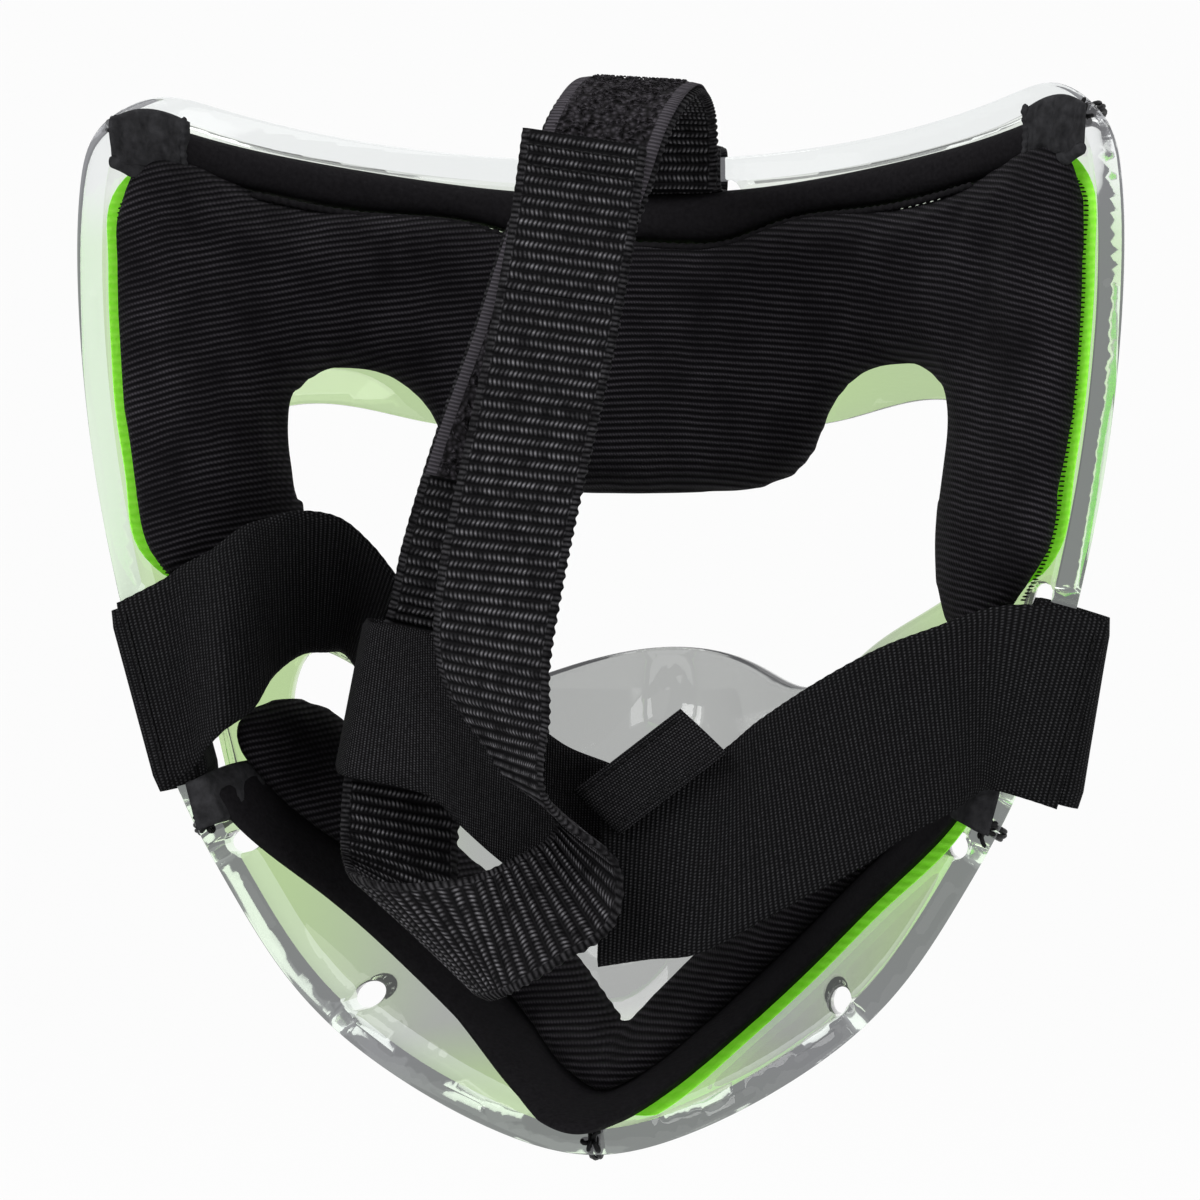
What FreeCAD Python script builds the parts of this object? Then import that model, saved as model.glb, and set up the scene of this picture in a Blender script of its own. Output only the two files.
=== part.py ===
import FreeCAD, Part
import math
import os

from FreeCAD import Vector

os.makedirs("parts", exist_ok=True)

# Face mask of clear plastic. Lengths in millimetres. The origin lies in the plane of the rim, level
# with the lower edge of the eye opening. +X is the wearer's right, +Y points out of the front, +Z up.

# Driving dimensions of the shell
shell_half_width = 106.5
shell_top = 103.0
shell_bottom = 111.0
shell_depth = 80.0
wall = 3.0
rim_width = 5.5
rim_step = 2.4
sheet_share = 1.12
overrun = 20.0
clearance = 0.3
slope_step = 0.3
rim_samples = 240
skin_grid = (33, 31)
band_grid = (25, 23)

# Front outline of one half, from the chin to the middle of the top edge
outline_width_shares = [0.0, 0.19, 0.378, 0.50, 0.597, 0.69, 0.80, 0.867, 0.925, 0.958, 0.982, 0.998,
                        0.992, 0.974, 0.94, 0.855, 0.77, 0.60, 0.36, 0.0]
outline_height_shares = [-1.0, -0.957, -0.862, -0.775, -0.675, -0.54, -0.345, -0.17, 0.05, 0.22, 0.40, 0.66,
                         0.82, 0.90, 0.95, 1.0, 0.985, 0.942, 0.908, 0.893]

# Depth on the mid plane and sideways curving of the shell, by height
level_shares = [-1.1, -1.0, -0.90, -0.77, -0.56, -0.34, -0.135, 0.10, 0.36, 0.63, 1.0, 1.1]
depth_shares = [-0.34, 0.0, 0.34, 0.66, 0.91, 1.0, 0.99, 0.91, 0.81, 0.76, 0.70, 0.68]
curving_shares = [3.8, 3.65, 3.3, 2.52, 1.97, 1.55, 1.28, 1.05, 0.855, 0.75, 0.68, 0.66]

# Nose bulge
nose_rise = 30.0
nose_half_width = 40.0
nose_height = -16.0
nose_half_height = 44.0
bump_power = 2.4

# Eye opening, one half from the brow round to the nose, as width and height shares
eye_width_shares = [0.0, 0.20, 0.40, 0.64, 0.745, 0.77, 0.70, 0.615, 0.465, 0.338, 0.20, 0.0]
eye_height_shares = [0.35, 0.352, 0.36, 0.395, 0.34, 0.19, 0.06, -0.005, -0.088, -0.165, -0.13, -0.092]

# Cheek vent, and the round vents of the chin
cheek_width_shares = [0.62, 0.52, 0.43, 0.41, 0.50, 0.61, 0.645]
cheek_height_shares = [-0.098, -0.145, -0.20, -0.33, -0.37, -0.30, -0.16]
vent_radius = 3.8
vent_width_shares = [0.115, 0.475, 0.69]
vent_height_shares = [-0.74, -0.735, -0.44]

# Slots for the straps and holes for the ties
webbing_width = 25.0
webbing_thickness = 1.6
elastic_width = 38.0
elastic_thickness = 1.5
slot_margin = 1.0
slot_height = 4.2
forehead_slot_height = 83.4
strap_offset = 6.0
forehead_slot_half_length = 20.0
side_slot_height = -18.0
side_slot_lean = 15.5
tie_thickness = 1.1
tie_reach = 4.6
tie_depth_share = 0.6
cheek_tie_height = -45.0

# Recesses moulded in the rim
recess_height_shares = [0.55, -0.56, -0.80, -0.90]
recess_half_length = 5.0
recess_width = 2.2
recess_depth = 1.5

# Pads
pad_thickness = 12.0
pad_edge_thickness = 3.0
pad_roll = 11.0
pad_band_shares = (-0.13, 0.90)
pad_grid = (43, 23)
cloth_thickness = 0.8
backing_reveal = 2.3
binding_width = 7.5
binding_thickness = 6.0
binding_band_shares = (0.68, 1.0)
binding_grid = (33, 9)
chin_thickness = 9.0
chin_roll = 8.0
chin_band_shares = (-1.0, -0.16)
chin_band_width_share = 0.80
chin_grid = (37, 19)
knit_gap = 0.2
tab_thickness = 1.8
tab_band_shares = (-0.55, 1.0)
corner_tab_width_shares = [0.866, 0.881, 0.926, 0.935, 0.905]
corner_tab_height_shares = [0.880, 0.950, 0.945, 0.915, 0.880]
chin_tab_width_shares = [0.702, 0.694, 0.728, 0.753, 0.745]
chin_tab_height_shares = [-0.352, -0.412, -0.437, -0.412, -0.367]

# Forehead pad, one half: the top edge under the binding, then the arm, the eye arch and the tongue
pad_top_width_shares = [0.0, 0.19, 0.30, 0.50, 0.70, 0.86]
pad_top_height_shares = [0.735, 0.735, 0.77, 0.79, 0.825, 0.865]
pad_arm_height_shares = [0.76, 0.62, 0.50, 0.36, 0.22, 0.10]
pad_foot_width_shares = [0.80, 0.755, 0.70, 0.66]
pad_foot_height_shares = [0.0, -0.06, -0.088, -0.06]
pad_arch_width_shares = [0.63, 0.635, 0.645, 0.62, 0.535, 0.45, 0.405, 0.375, 0.325, 0.235, 0.12, 0.0]
pad_arch_height_shares = [0.02, 0.22, 0.36, 0.425, 0.462, 0.435, 0.385, 0.32, 0.258, 0.226, 0.218, 0.215]
binding_top_width_shares = [0.0, 0.20, 0.27, 0.40, 0.60, 0.80, 0.875]
binding_top_height_shares = [0.795, 0.795, 0.84, 0.855, 0.885, 0.925, 0.955]

# Chin pad, one half: inner edge from the mid plane up the cheek, and outer edge back down
chin_inner_width_shares = [0.0, 0.17, 0.34, 0.505, 0.575]
chin_inner_height_shares = [-0.757, -0.59, -0.425, -0.262, -0.195]
chin_end_width_shares = [0.62, 0.665, 0.70]
chin_end_height_shares = [-0.19, -0.23, -0.31]
chin_outer_width_shares = [0.685, 0.53, 0.38, 0.23, 0.10, 0.0]
chin_outer_height_shares = [-0.39, -0.535, -0.675, -0.81, -0.915, -0.955]

# Straps: each station holds its middle, as shares of the shell's half width, depth and top, and its
# direction across, in strap widths
tape_thickness = 1.0
tape_gap = 0.05
hinge_gap_share = 0.0012
pile_start_share = 0.055
pile_end_share = 0.335
corner_share = 1.22
anchor_points = 8
across_shares = [-0.5, -0.17, 0.17, 0.5]
tape_width_share = 0.94
keeper_width_share = 0.92
hem_width_share = 0.80
hook_hinge_share = 0.929
strap_top_height = 90.0
strap_top_depth = 54.2
strap_top_reach = 4.4
strap_top_depth_reach = 5.2
loop_depth = 15.0
left_loop_reach = 9.4
right_loop_top_reach = 14.0
right_loop_low_reach = 18.0
loop_out_shares = [0.0, -0.03, 0.0, 0.17, 0.49, 0.81, 1.0, 0.90, 0.48]
loop_depth_shares = [-0.2, 0.27, 0.76, 0.96, 0.80, 0.43, 0.07, -0.17, -0.21]
top_strap_stations = [
    ((0.056, 0.719, 0.942), (1.00, 0.00, -0.02)),
    ((0.059, 0.625, 0.951), (1.00, 0.00, -0.02)),
    ((0.066, 0.475, 0.970), (1.00, 0.00, -0.03)),
    ((0.075, 0.250, 1.000), (1.00, 0.00, -0.05)),
    ((0.083, 0.050, 0.996), (1.00, 0.00, -0.08)),
    ((0.075, -0.113, 0.961), (1.00, 0.00, -0.10)),
    ((0.056, -0.212, 0.898), (0.99, 0.00, -0.13)),
    ((0.028, -0.263, 0.796), (0.99, 0.00, -0.15)),
    ((-0.021, -0.281, 0.650), (0.99, 0.00, -0.16)),
    ((-0.078, -0.250, 0.485), (0.98, 0.00, -0.20)),
    ((-0.157, -0.188, 0.291), (0.98, 0.02, -0.21)),
    ((-0.228, -0.125, 0.083), (0.98, 0.05, -0.21)),
    ((-0.263, -0.062, -0.039), (0.98, 0.10, -0.20)),
    ((-0.310, 0.000, -0.194), (0.97, 0.15, -0.18)),
    ((-0.344, 0.013, -0.350), (0.97, 0.19, -0.16)),
    ((-0.356, -0.025, -0.502), (0.94, 0.20, -0.26)),
    ((-0.341, -0.094, -0.593), (0.98, 0.12, -0.63)),
    ((-0.308, -0.200, -0.638), (1.04, -0.08, -0.90)),
    ((-0.254, -0.297, -0.650), (0.87, -0.18, -0.90)),
    ((-0.197, -0.345, -0.646), (0.64, -0.24, -0.88)),
    ((-0.135, -0.375, -0.632), (0.40, -0.32, -0.88)),
    ((-0.059, -0.366, -0.591), (0.47, -0.42, -0.79)),
    ((0.012, -0.334, -0.533), (0.57, -0.54, -0.61)),
    ((0.022, -0.298, -0.456), (0.69, -0.58, -0.40)),
    ((-0.030, -0.303, -0.374), (0.73, -0.66, -0.28)),
    ((-0.092, -0.310, -0.290), (0.79, -0.58, -0.20)),
    ((-0.133, -0.316, -0.205), (0.89, -0.42, -0.20)),
    ((-0.144, -0.326, -0.100), (0.97, -0.22, -0.18)),
    ((-0.125, -0.338, 0.043), (0.99, 0.00, -0.12)),
    ((-0.094, -0.352, 0.189), (0.99, 0.00, -0.12)),
    ((-0.060, -0.358, 0.340), (0.99, 0.00, -0.14)),
    ((-0.028, -0.352, 0.492), (0.99, 0.00, -0.16)),
    ((-0.008, -0.347, 0.602), (0.99, 0.00, -0.16)),
    ((0.011, -0.330, 0.728), (0.99, 0.00, -0.16)),
    ((0.027, -0.305, 0.879), (0.99, 0.00, -0.16))]
left_band_stations = [
    ((-0.777, -0.042, -0.175), (-0.27, 0.00, 0.96)),
    ((-0.758, -0.085, -0.146), (-0.20, 0.13, 0.95)),
    ((-0.695, -0.150, -0.078), (-0.11, 0.16, 0.95)),
    ((-0.651, -0.081, -0.036), (-0.01, -0.24, 0.96)),
    ((-0.621, 0.013, 0.004), (0.10, -0.53, 0.84)),
    ((-0.579, 0.098, 0.032), (0.14, -0.62, 0.77)),
    ((-0.530, 0.181, 0.028), (0.23, -0.66, 0.72)),
    ((-0.493, 0.259, 0.000), (0.31, -0.72, 0.59)),
    ((-0.458, 0.300, -0.055), (0.35, -0.70, 0.55)),
    ((-0.406, 0.290, -0.136), (0.36, -0.61, 0.65)),
    ((-0.336, 0.215, -0.214), (0.33, -0.33, 0.84)),
    ((-0.249, 0.150, -0.248), (0.24, -0.13, 0.92))]
keeper_stations = [
    ((-0.211, 0.112, -0.245), (0.24, -0.09, 0.91)),
    ((-0.308, 0.098, -0.223), (0.22, -0.06, 0.89)),
    ((-0.400, 0.062, -0.199), (0.21, -0.02, 0.89)),
    ((-0.454, -0.005, -0.185), (0.17, 0.06, 0.88)),
    ((-0.424, -0.128, -0.193), (0.13, 0.09, 0.88)),
    ((-0.354, -0.155, -0.203), (0.05, 0.10, 0.90)),
    ((-0.281, -0.169, -0.224), (-0.02, 0.08, 0.93)),
    ((-0.219, -0.174, -0.274), (0.01, 0.07, 0.96)),
    ((-0.145, -0.169, -0.344), (0.02, 0.08, 0.93)),
    ((-0.041, -0.150, -0.428), (0.02, 0.05, 0.90)),
    ((0.043, -0.138, -0.466), (0.04, 0.05, 0.90))]
right_band_stations = [
    ((0.777, -0.042, -0.175), (0.27, 0.00, 0.96)),
    ((0.750, -0.100, -0.189), (0.06, 0.05, 0.95)),
    ((0.677, -0.163, -0.226), (-0.09, 0.00, 0.95)),
    ((0.592, -0.209, -0.266), (-0.15, 0.01, 0.96)),
    ((0.494, -0.237, -0.328), (-0.20, 0.03, 0.97)),
    ((0.365, -0.250, -0.407), (-0.11, 0.03, 0.98)),
    ((0.246, -0.250, -0.483), (0.07, 0.03, 1.02)),
    ((0.151, -0.240, -0.502), (0.07, 0.00, 0.99)),
    ((0.046, -0.225, -0.524), (0.03, -0.03, 0.96))]
hem_stations = [
    ((0.186, -0.273, -0.365), (0.82, -0.065, 0.57)),
    ((0.156, -0.275, -0.310), (0.82, -0.065, 0.57)),
    ((0.126, -0.277, -0.258), (0.82, -0.065, 0.57))]


def height(share):
    """Height over the origin, as a share of the shell's reach upwards or downwards."""
    return share * (shell_top if share > 0 else shell_bottom)


def place(width_share, height_share):
    """Point of a front view outline."""
    return Vector(width_share * shell_half_width, 0, height(height_share))


def smooth_value(places, values, at):
    """Value at a place on a smooth run through given places and values."""
    last = len(places) - 2
    index = max(0, min(last, sum(1 for here in places if here <= at) - 1))
    span = places[index + 1] - places[index]
    part = (at - places[index]) / span

    def slope(i):
        low, high = max(0, i - 1), min(len(places) - 1, i + 1)
        return (values[high] - values[low]) / (places[high] - places[low])

    rise = values[index + 1] - values[index]
    curve = values[index] + part * part * (3 - 2 * part) * rise
    start = part * (1 - part) * (1 - part) * span * slope(index)
    end = part * part * (1 - part) * span * slope(index + 1)
    return curve + start - end


level_heights = [height(share) for share in level_shares]
mid_depths = [share * shell_depth for share in depth_shares]


def bump(share):
    """Smooth bulge that is one at zero and fades out at one."""
    return (1 - min(abs(share), 1) ** bump_power) ** 2


def shell_front(x, z, nose):
    """Depth of the shell's front face: a parabola across, deeper at the cheeks, with the nose bulge."""
    mid = smooth_value(level_heights, mid_depths, z)
    curving = smooth_value(level_heights, curving_shares, z) * shell_depth
    depth = mid - curving * (x / shell_half_width) ** 2
    if nose:
        depth += nose_rise * bump(x / nose_half_width) * bump((z - nose_height) / nose_half_height)
    return depth


def face_point(x, z, inset, nose):
    """Point that lies a given way inside the front face, square to it."""
    step = slope_step
    across = (shell_front(x + step, z, nose) - shell_front(x - step, z, nose)) / (2 * step)
    along = (shell_front(x, z + step, nose) - shell_front(x, z - step, nose)) / (2 * step)
    normal = Vector(-across, 1, -along).normalize()
    return Vector(x, shell_front(x, z, nose), z) - normal * inset


def surface_through(grid):
    """Smooth surface through rows of points."""
    surface = Part.BSplineSurface()
    surface.interpolate(grid)
    return surface


def between(outer_grid, inner_grid):
    """Solid between two surfaces, closed by straight sides."""
    outer, inner = surface_through(outer_grid), surface_through(inner_grid)
    faces = [outer.toShape(), inner.toShape()]
    for first, second in zip(borders(outer), borders(inner)):
        faces.append(first.makeRuledSurface(second).toShape())
    shell = Part.makeShell(faces)
    shell.sewShape()
    return outwards(Part.makeSolid(shell))


def face_grid(half_width, heights, counts, inset_at, nose):
    """Rows of points at a given inset from the front face."""
    low, high = [height(share) for share in heights]
    columns, rows = counts
    grid = []
    for i in range(columns):
        x = half_width * (2 * i / (columns - 1) - 1)
        line = [low + (high - low) * j / (rows - 1) for j in range(rows)]
        grid.append([face_point(x, z, inset_at(x, z), nose) for z in line])
    return grid


def sheet(half_width, heights, counts, outer_at, inner_at, nose=False):
    """Solid between two insets from the front face, over a band of heights given as shares."""
    return between(face_grid(half_width, heights, counts, outer_at, nose),
                   face_grid(half_width, heights, counts, inner_at, nose))


def borders(surface):
    """The four curves round a surface."""
    u_low, u_high, v_low, v_high = surface.bounds()
    return [surface.uIso(u_low), surface.uIso(u_high), surface.vIso(v_low), surface.vIso(v_high)]


def outwards(solid):
    """The solid with its faces turned outwards."""
    if solid.Volume < 0:
        solid.reverse()
    return solid


def curve_edge(points, closed=False):
    """Smooth edge through points, or a straight one through two."""
    if len(points) == 2:
        return Part.makeLine(points[0], points[1])
    curve = Part.BSplineCurve()
    if closed:
        curve.interpolate(Points=points, PeriodicFlag=True)
    else:
        curve.interpolate(Points=points)
    return curve.toShape()


def mirrored(points):
    """The same points on the other side of the mid plane, in turned order."""
    return [Vector(-point.x, point.y, point.z) for point in reversed(points)]


def places(width_shares, height_shares):
    return [place(w, h) for w, h in zip(width_shares, height_shares)]


def prism(edges, depth_low=-overrun, depth_high=None):
    """Solid behind a closed front view outline."""
    high = shell_depth * 2 if depth_high is None else depth_high
    wire = Part.Wire(Part.__sortEdges__(edges))
    face = Part.Face(wire)
    face.translate(Vector(0, depth_low, 0))
    return outwards(face.extrude(Vector(0, high - depth_low, 0)))


def rim_points(inset):
    """Outline of one half, moved inwards by an inset."""
    points = places(outline_width_shares, outline_height_shares)
    moved = []
    for index, point in enumerate(points):
        before = points[index - 1] if index > 0 else Vector(-points[1].x, 0, points[1].z)
        last = index == len(points) - 1
        after = Vector(-points[-2].x, 0, points[-2].z) if last else points[index + 1]
        along = (after - before).normalize()
        moved.append(point + Vector(-along.z, 0, along.x) * inset)
    return moved


def rim_edges(inset):
    """Closed outline of the shell, moved inwards by an inset."""
    half = rim_points(inset)
    points = half + mirrored(half)[1:-1]
    return [curve_edge(points, closed=True)]


def rim_width_at(z, inset):
    """Half width of the moved outline at a height."""
    side = rim_points(inset)[:outline_height_shares.index(1.0)]
    return smooth_value([point.z for point in side], [point.x for point in side], z)


def rim_run(low, high):
    """Direction of the rim between two heights, on the right."""
    inset = rim_width / 2
    return Vector(rim_width_at(high, inset) - rim_width_at(low, inset), 0, high - low).normalize()


def one_solid(shape):
    """The largest solid of a result."""
    return max(shape.Solids, key=lambda solid: solid.Volume)


def export(shape, node):
    shape.exportStep("parts/" + node + ".step")
    print(node, len(shape.Solids), round(shape.Volume), shape.isValid())


def within_rim():
    """Room inside the thick rim."""
    return prism(rim_edges(rim_width + clearance), -overrun * 2)


def half_outline(points):
    """Closed outline of one half run and its mirror image."""
    return [curve_edge(points), curve_edge(mirrored(points))]


def stadium(centre, along, half_length, half_width):
    """Slot outline: two straight sides and two round ends."""
    side = Vector(-along.z, 0, along.x) * half_width
    far, near = centre + along * half_length, centre - along * half_length
    return [Part.Arc(far + side, far + along * half_width, far - side).toShape(),
            Part.makeLine(far - side, near - side),
            Part.Arc(near - side, near - along * half_width, near + side).toShape(),
            Part.makeLine(near + side, far + side)]


def side_slot_line(side):
    """Middle and direction of the slot for the elastic, on one side."""
    lean = math.radians(side_slot_lean)
    along = Vector(math.sin(lean) * side, 0, math.cos(lean))
    out = rim_width_at(side_slot_height, rim_width + slot_height / 2)
    return Vector(out * side, 0, side_slot_height), along


def tie_ring(centre, along, thickness):
    """Round of thread through the wall and over the rim."""
    depth = shell_front(centre.x, centre.z, False) - wall * tie_depth_share
    middle = Vector(centre.x, depth, centre.z)
    return Part.makeTorus(tie_reach, thickness / 2, middle, along)


def tie_places():
    """Middle of the rim and its direction at each tie: two crowns, two cheeks and the chin."""
    rim = rim_points(rim_width / 2)
    crown = outline_height_shares.index(1.0)
    places_found = {"chin_tie": (rim[0], Vector(1, 0, 0))}
    for name, side in (("right", 1), ("left", -1)):
        here, there = rim[crown - 1], rim[crown - 2]
        along = (here - there).normalize()
        crown_middle = Vector(here.x * side, 0, here.z)
        places_found["corner_tie_" + name] = (crown_middle, Vector(along.x * side, 0, along.z))
        low, high = cheek_tie_height - rim_width, cheek_tie_height + rim_width
        run = rim_run(low, high)
        middle = Vector(rim_width_at(cheek_tie_height, rim_width / 2) * side, 0, cheek_tie_height)
        places_found["cheek_tie_" + name] = (middle, Vector(run.x * side, 0, run.z))
    return places_found


def tie_tools():
    """Tunnels that leave room for the ties."""
    rings = [tie_ring(middle, along, tie_thickness + 2 * clearance) for middle, along in tie_places().values()]
    return Part.makeCompound(rings)


def rim_recesses():
    """Shallow pockets along the thick rim."""
    tools = []
    for share in recess_height_shares:
        low, high = height(share) - recess_half_length, height(share) + recess_half_length
        run = rim_run(low, high)
        for side in (1, -1):
            middle = Vector(rim_width_at(height(share), rim_width / 2) * side, 0, height(share))
            along = Vector(run.x * side, 0, run.z)
            tools.append(prism(stadium(middle, along, recess_half_length, recess_width / 2)))
    whole = (level_shares[0], level_shares[-1])
    lip = wall + rim_step
    band = sheet(shell_half_width * sheet_share, whole, band_grid, lambda x, z: lip - recess_depth,
                 lambda x, z: lip + recess_depth)
    return band.common(Part.makeCompound(tools))


def make_shell():
    """Moulded shield with a stepped rim, an eye opening, vents, slots and tie holes."""
    whole = (level_shares[0], level_shares[-1])
    wide = shell_half_width * sheet_share
    skin = sheet(wide, whole, skin_grid, lambda x, z: 0, lambda x, z: wall, nose=True)
    body = skin.common(prism(rim_edges(0), 0))
    lip = sheet(wide, whole, band_grid, lambda x, z: wall / 2, lambda x, z: wall + rim_step)
    lip = lip.common(prism(rim_edges(0), 0).cut(prism(rim_edges(rim_width))))
    body = one_solid(body.fuse(lip))
    eye = places(eye_width_shares, eye_height_shares)
    tools = [prism([curve_edge(eye + mirrored(eye)[1:-1], closed=True)])]
    forward = Vector(0, 1, 0)
    for side in (1, -1):
        cheek = [place(w * side, h) for w, h in zip(cheek_width_shares, cheek_height_shares)]
        tools.append(prism([curve_edge(cheek, closed=True)]))
        middle, along = side_slot_line(side)
        tools.append(prism(stadium(middle, along, elastic_width / 2 + slot_margin, slot_height / 2)))
        for w, h in zip(vent_width_shares, vent_height_shares):
            start = place(w * side, h) - forward * overrun
            tools.append(Part.makeCylinder(vent_radius, shell_depth * 2, start, forward))
    slot_middle = Vector(0, 0, forehead_slot_height + slot_height / 2)
    tools.append(prism(stadium(slot_middle, Vector(1, 0, 0), forehead_slot_half_length, slot_height / 2)))
    body = body.cut(Part.makeCompound(tools))
    return one_solid(body.cut(rim_recesses()).cut(tie_tools()))


def inside(x, z, rim):
    """Whether a front view point lies within a closed outline."""
    crossings = 0
    for here, there in zip(rim, rim[1:] + rim[:1]):
        if (here.z > z) != (there.z > z):
            crossings += x < here.x + (there.x - here.x) * (z - here.z) / (there.z - here.z)
    return crossings % 2 == 1


def cushion(edges, half_width, heights, counts, back, thickness, roll):
    """Crowned pad on the inside of the shell: thickest in the middle, rolled over at its outline."""
    wire = Part.Wire(Part.__sortEdges__(edges))
    rim = wire.discretize(rim_samples)

    def inset(x, z):
        near = min((point.x - x) ** 2 + (point.z - z) ** 2 for point in rim) ** 0.5
        share = min(near / roll, 1) if inside(x, z, rim) else 0
        return back + pad_edge_thickness + (thickness - pad_edge_thickness) * share * share * (3 - 2 * share)

    body = sheet(half_width, heights, counts, lambda x, z: back, inset)
    return one_solid(body.common(prism(edges, -overrun * 2)))


def forehead_outline(reveal, drop):
    """Half outline of the forehead pad, with its arm edge moved outwards and its top edge down."""
    top = places(pad_top_width_shares, pad_top_height_shares)
    top = [point - Vector(0, 0, drop) for point in top]
    inset = rim_width + clearance + backing_reveal - reveal
    arm = [Vector(rim_width_at(height(h), inset), 0, height(h)) for h in pad_arm_height_shares]
    foot = places(pad_foot_width_shares, pad_foot_height_shares)
    arch = places(pad_arch_width_shares, pad_arch_height_shares)
    return half_outline(top + arm + foot + arch)


def make_forehead_pad():
    """Padded band with two arms down the temples and a tongue over the bridge of the nose."""
    back = wall + clearance + cloth_thickness
    return cushion(forehead_outline(0, 0), shell_half_width, pad_band_shares, pad_grid, back,
                   pad_thickness, pad_roll)


def make_forehead_backing():
    """Cloth behind the forehead pad that shows along its arms."""
    back = wall + clearance
    body = sheet(shell_half_width, pad_band_shares, band_grid, lambda x, z: back,
                 lambda x, z: back + cloth_thickness - knit_gap / 2)
    body = body.common(prism(forehead_outline(backing_reveal, 0), -overrun * 2))
    return one_solid(body.common(within_rim()))


def make_forehead_binding():
    """Smooth tape rolled over the top edge of the forehead pad."""
    lower = places(pad_top_width_shares, pad_top_height_shares)
    lower = [point - Vector(0, 0, cloth_thickness) for point in lower]
    upper = places(binding_top_width_shares, binding_top_height_shares)
    runs = [lower, [lower[-1], upper[-1]], upper]
    edges = [curve_edge(run) for run in runs] + [curve_edge(mirrored(run)) for run in runs]
    back = wall + clearance
    body = sheet(shell_half_width, binding_band_shares, binding_grid, lambda x, z: back,
                 lambda x, z: back + binding_thickness)
    body = body.common(prism(edges, -overrun * 2)).common(within_rim())
    for reveal in (0, backing_reveal):
        body = body.cut(prism(forehead_outline(reveal, -knit_gap), -overrun * 2))
    return one_solid(body)


def chin_outline(inset):
    """Half outline of the chin pad, with its outer edge moved inwards."""
    inner = places(chin_inner_width_shares, chin_inner_height_shares)
    end = places(chin_end_width_shares, chin_end_height_shares)
    outer = places(chin_outer_width_shares, chin_outer_height_shares)
    moved = []
    for index, point in enumerate(outer):
        before = outer[index - 1] if index > 0 else end[-1]
        after = outer[index + 1] if index + 1 < len(outer) else Vector(-outer[-2].x, 0, outer[-2].z)
        along = (after - before).normalize()
        moved.append(point + Vector(along.z, 0, -along.x) * inset)
    if inset > 0:
        end = end[:-1]
    return inner + end + moved


def make_chin_pads():
    """Chin pad, the tape along its outer edge and the cloth behind it."""
    wide = shell_half_width * chin_band_width_share
    behind = wall + clearance
    back = behind + cloth_thickness
    whole = prism(half_outline(chin_outline(0)), -overrun * 2)
    inner = half_outline(chin_outline(binding_width))
    pad = cushion(inner, wide, chin_band_shares, chin_grid, back, chin_thickness, chin_roll)
    ring = sheet(wide, chin_band_shares, chin_grid, lambda x, z: back, lambda x, z: back + binding_thickness)
    gap = prism(half_outline(chin_outline(binding_width - knit_gap)), -overrun * 2)
    binding = ring.common(whole).cut(gap).common(within_rim())
    cloth = sheet(wide, chin_band_shares, chin_grid, lambda x, z: behind, lambda x, z: back - knit_gap)
    wider = prism(half_outline(chin_outline(-backing_reveal)), -overrun * 2)
    cloth = cloth.common(wider).common(within_rim())
    return pad, one_solid(binding.cut(tie_tools())), one_solid(cloth.cut(tie_tools()))


def make_tab(width_shares, height_shares, side):
    """Strip of cloth from a pad on to the rim, under its tie."""
    points = [place(w * side, h) for w, h in zip(width_shares, height_shares)]
    edges = [Part.makeLine(here, there) for here, there in zip(points, points[1:] + points[:1])]
    back = wall + rim_step + clearance
    band = sheet(shell_half_width, tab_band_shares, band_grid, lambda x, z: back,
                 lambda x, z: back + tab_thickness)
    return one_solid(band.common(prism(edges, -tab_thickness)).cut(tie_tools()))


def way(stations, steps, start=0.0, end=1.0):
    """Middles and directions across at even steps along a part of a strap's way."""
    middles = [Vector(x * shell_half_width, y * shell_depth, z * shell_top) for (x, y, z), _ in stations]
    across = [direction for _, direction in stations]
    lengths = [0.0]
    for here, there in zip(middles, middles[1:]):
        lengths.append(lengths[-1] + here.distanceToPoint(there))
    found = []
    for i in range(steps + 1):
        at = lengths[-1] * (start + (end - start) * i / steps)
        middle = [smooth_value(lengths, [point[k] for point in middles], at) for k in range(3)]
        turned = [smooth_value(lengths, [direction[k] for direction in across], at) for k in range(3)]
        found.append((Vector(*middle), Vector(*turned)))
    return found


def ribbon(run, width, thickness, shift=0.0):
    """Flat strap along a way, moved by a shift square to its face."""
    rows = [[middle + across * width * share for share in across_shares] for middle, across in run]
    outer, inner = [], []
    for i, row in enumerate(rows):
        before, after = rows[max(i - 1, 0)], rows[min(i + 1, len(rows) - 1)]
        side = run[i][1]
        normals = [(after[j] - before[j]).cross(side).normalize() for j in range(len(row))]
        outer.append([point + n * (shift + thickness / 2) for point, n in zip(row, normals)])
        inner.append([point + n * (shift - thickness / 2) for point, n in zip(row, normals)])
    return between(outer, inner)


def loop_wire(points, shift, middle, out):
    """Closed smooth outline round a bar, moved outwards by a shift."""
    moved = []
    for index, (reach, depth) in enumerate(points):
        before, after = points[index - 1], points[(index + 1) % len(points)]
        step = (after[0] - before[0], after[1] - before[1])
        size = math.hypot(*step)
        reach, depth = reach - step[1] / size * shift, depth + step[0] / size * shift
        moved.append(middle + out * reach + Vector(0, depth, 0))
    return Part.Wire(curve_edge(moved, closed=True))


def strap_loop(middle, along, out, low_points, high_points, width, thickness):
    """Strap end folded round a bar and sewn back to itself."""
    low, high = middle - along * width / 2, middle + along * width / 2
    outer = Part.makeLoft([loop_wire(low_points, thickness / 2, low, out),
                           loop_wire(high_points, thickness / 2, high, out)], True, True)
    inner = Part.makeLoft([loop_wire(low_points, -thickness / 2, low, out),
                           loop_wire(high_points, -thickness / 2, high, out)], True, True)
    return one_solid(outwards(outer).cut(outwards(inner)))


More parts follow.
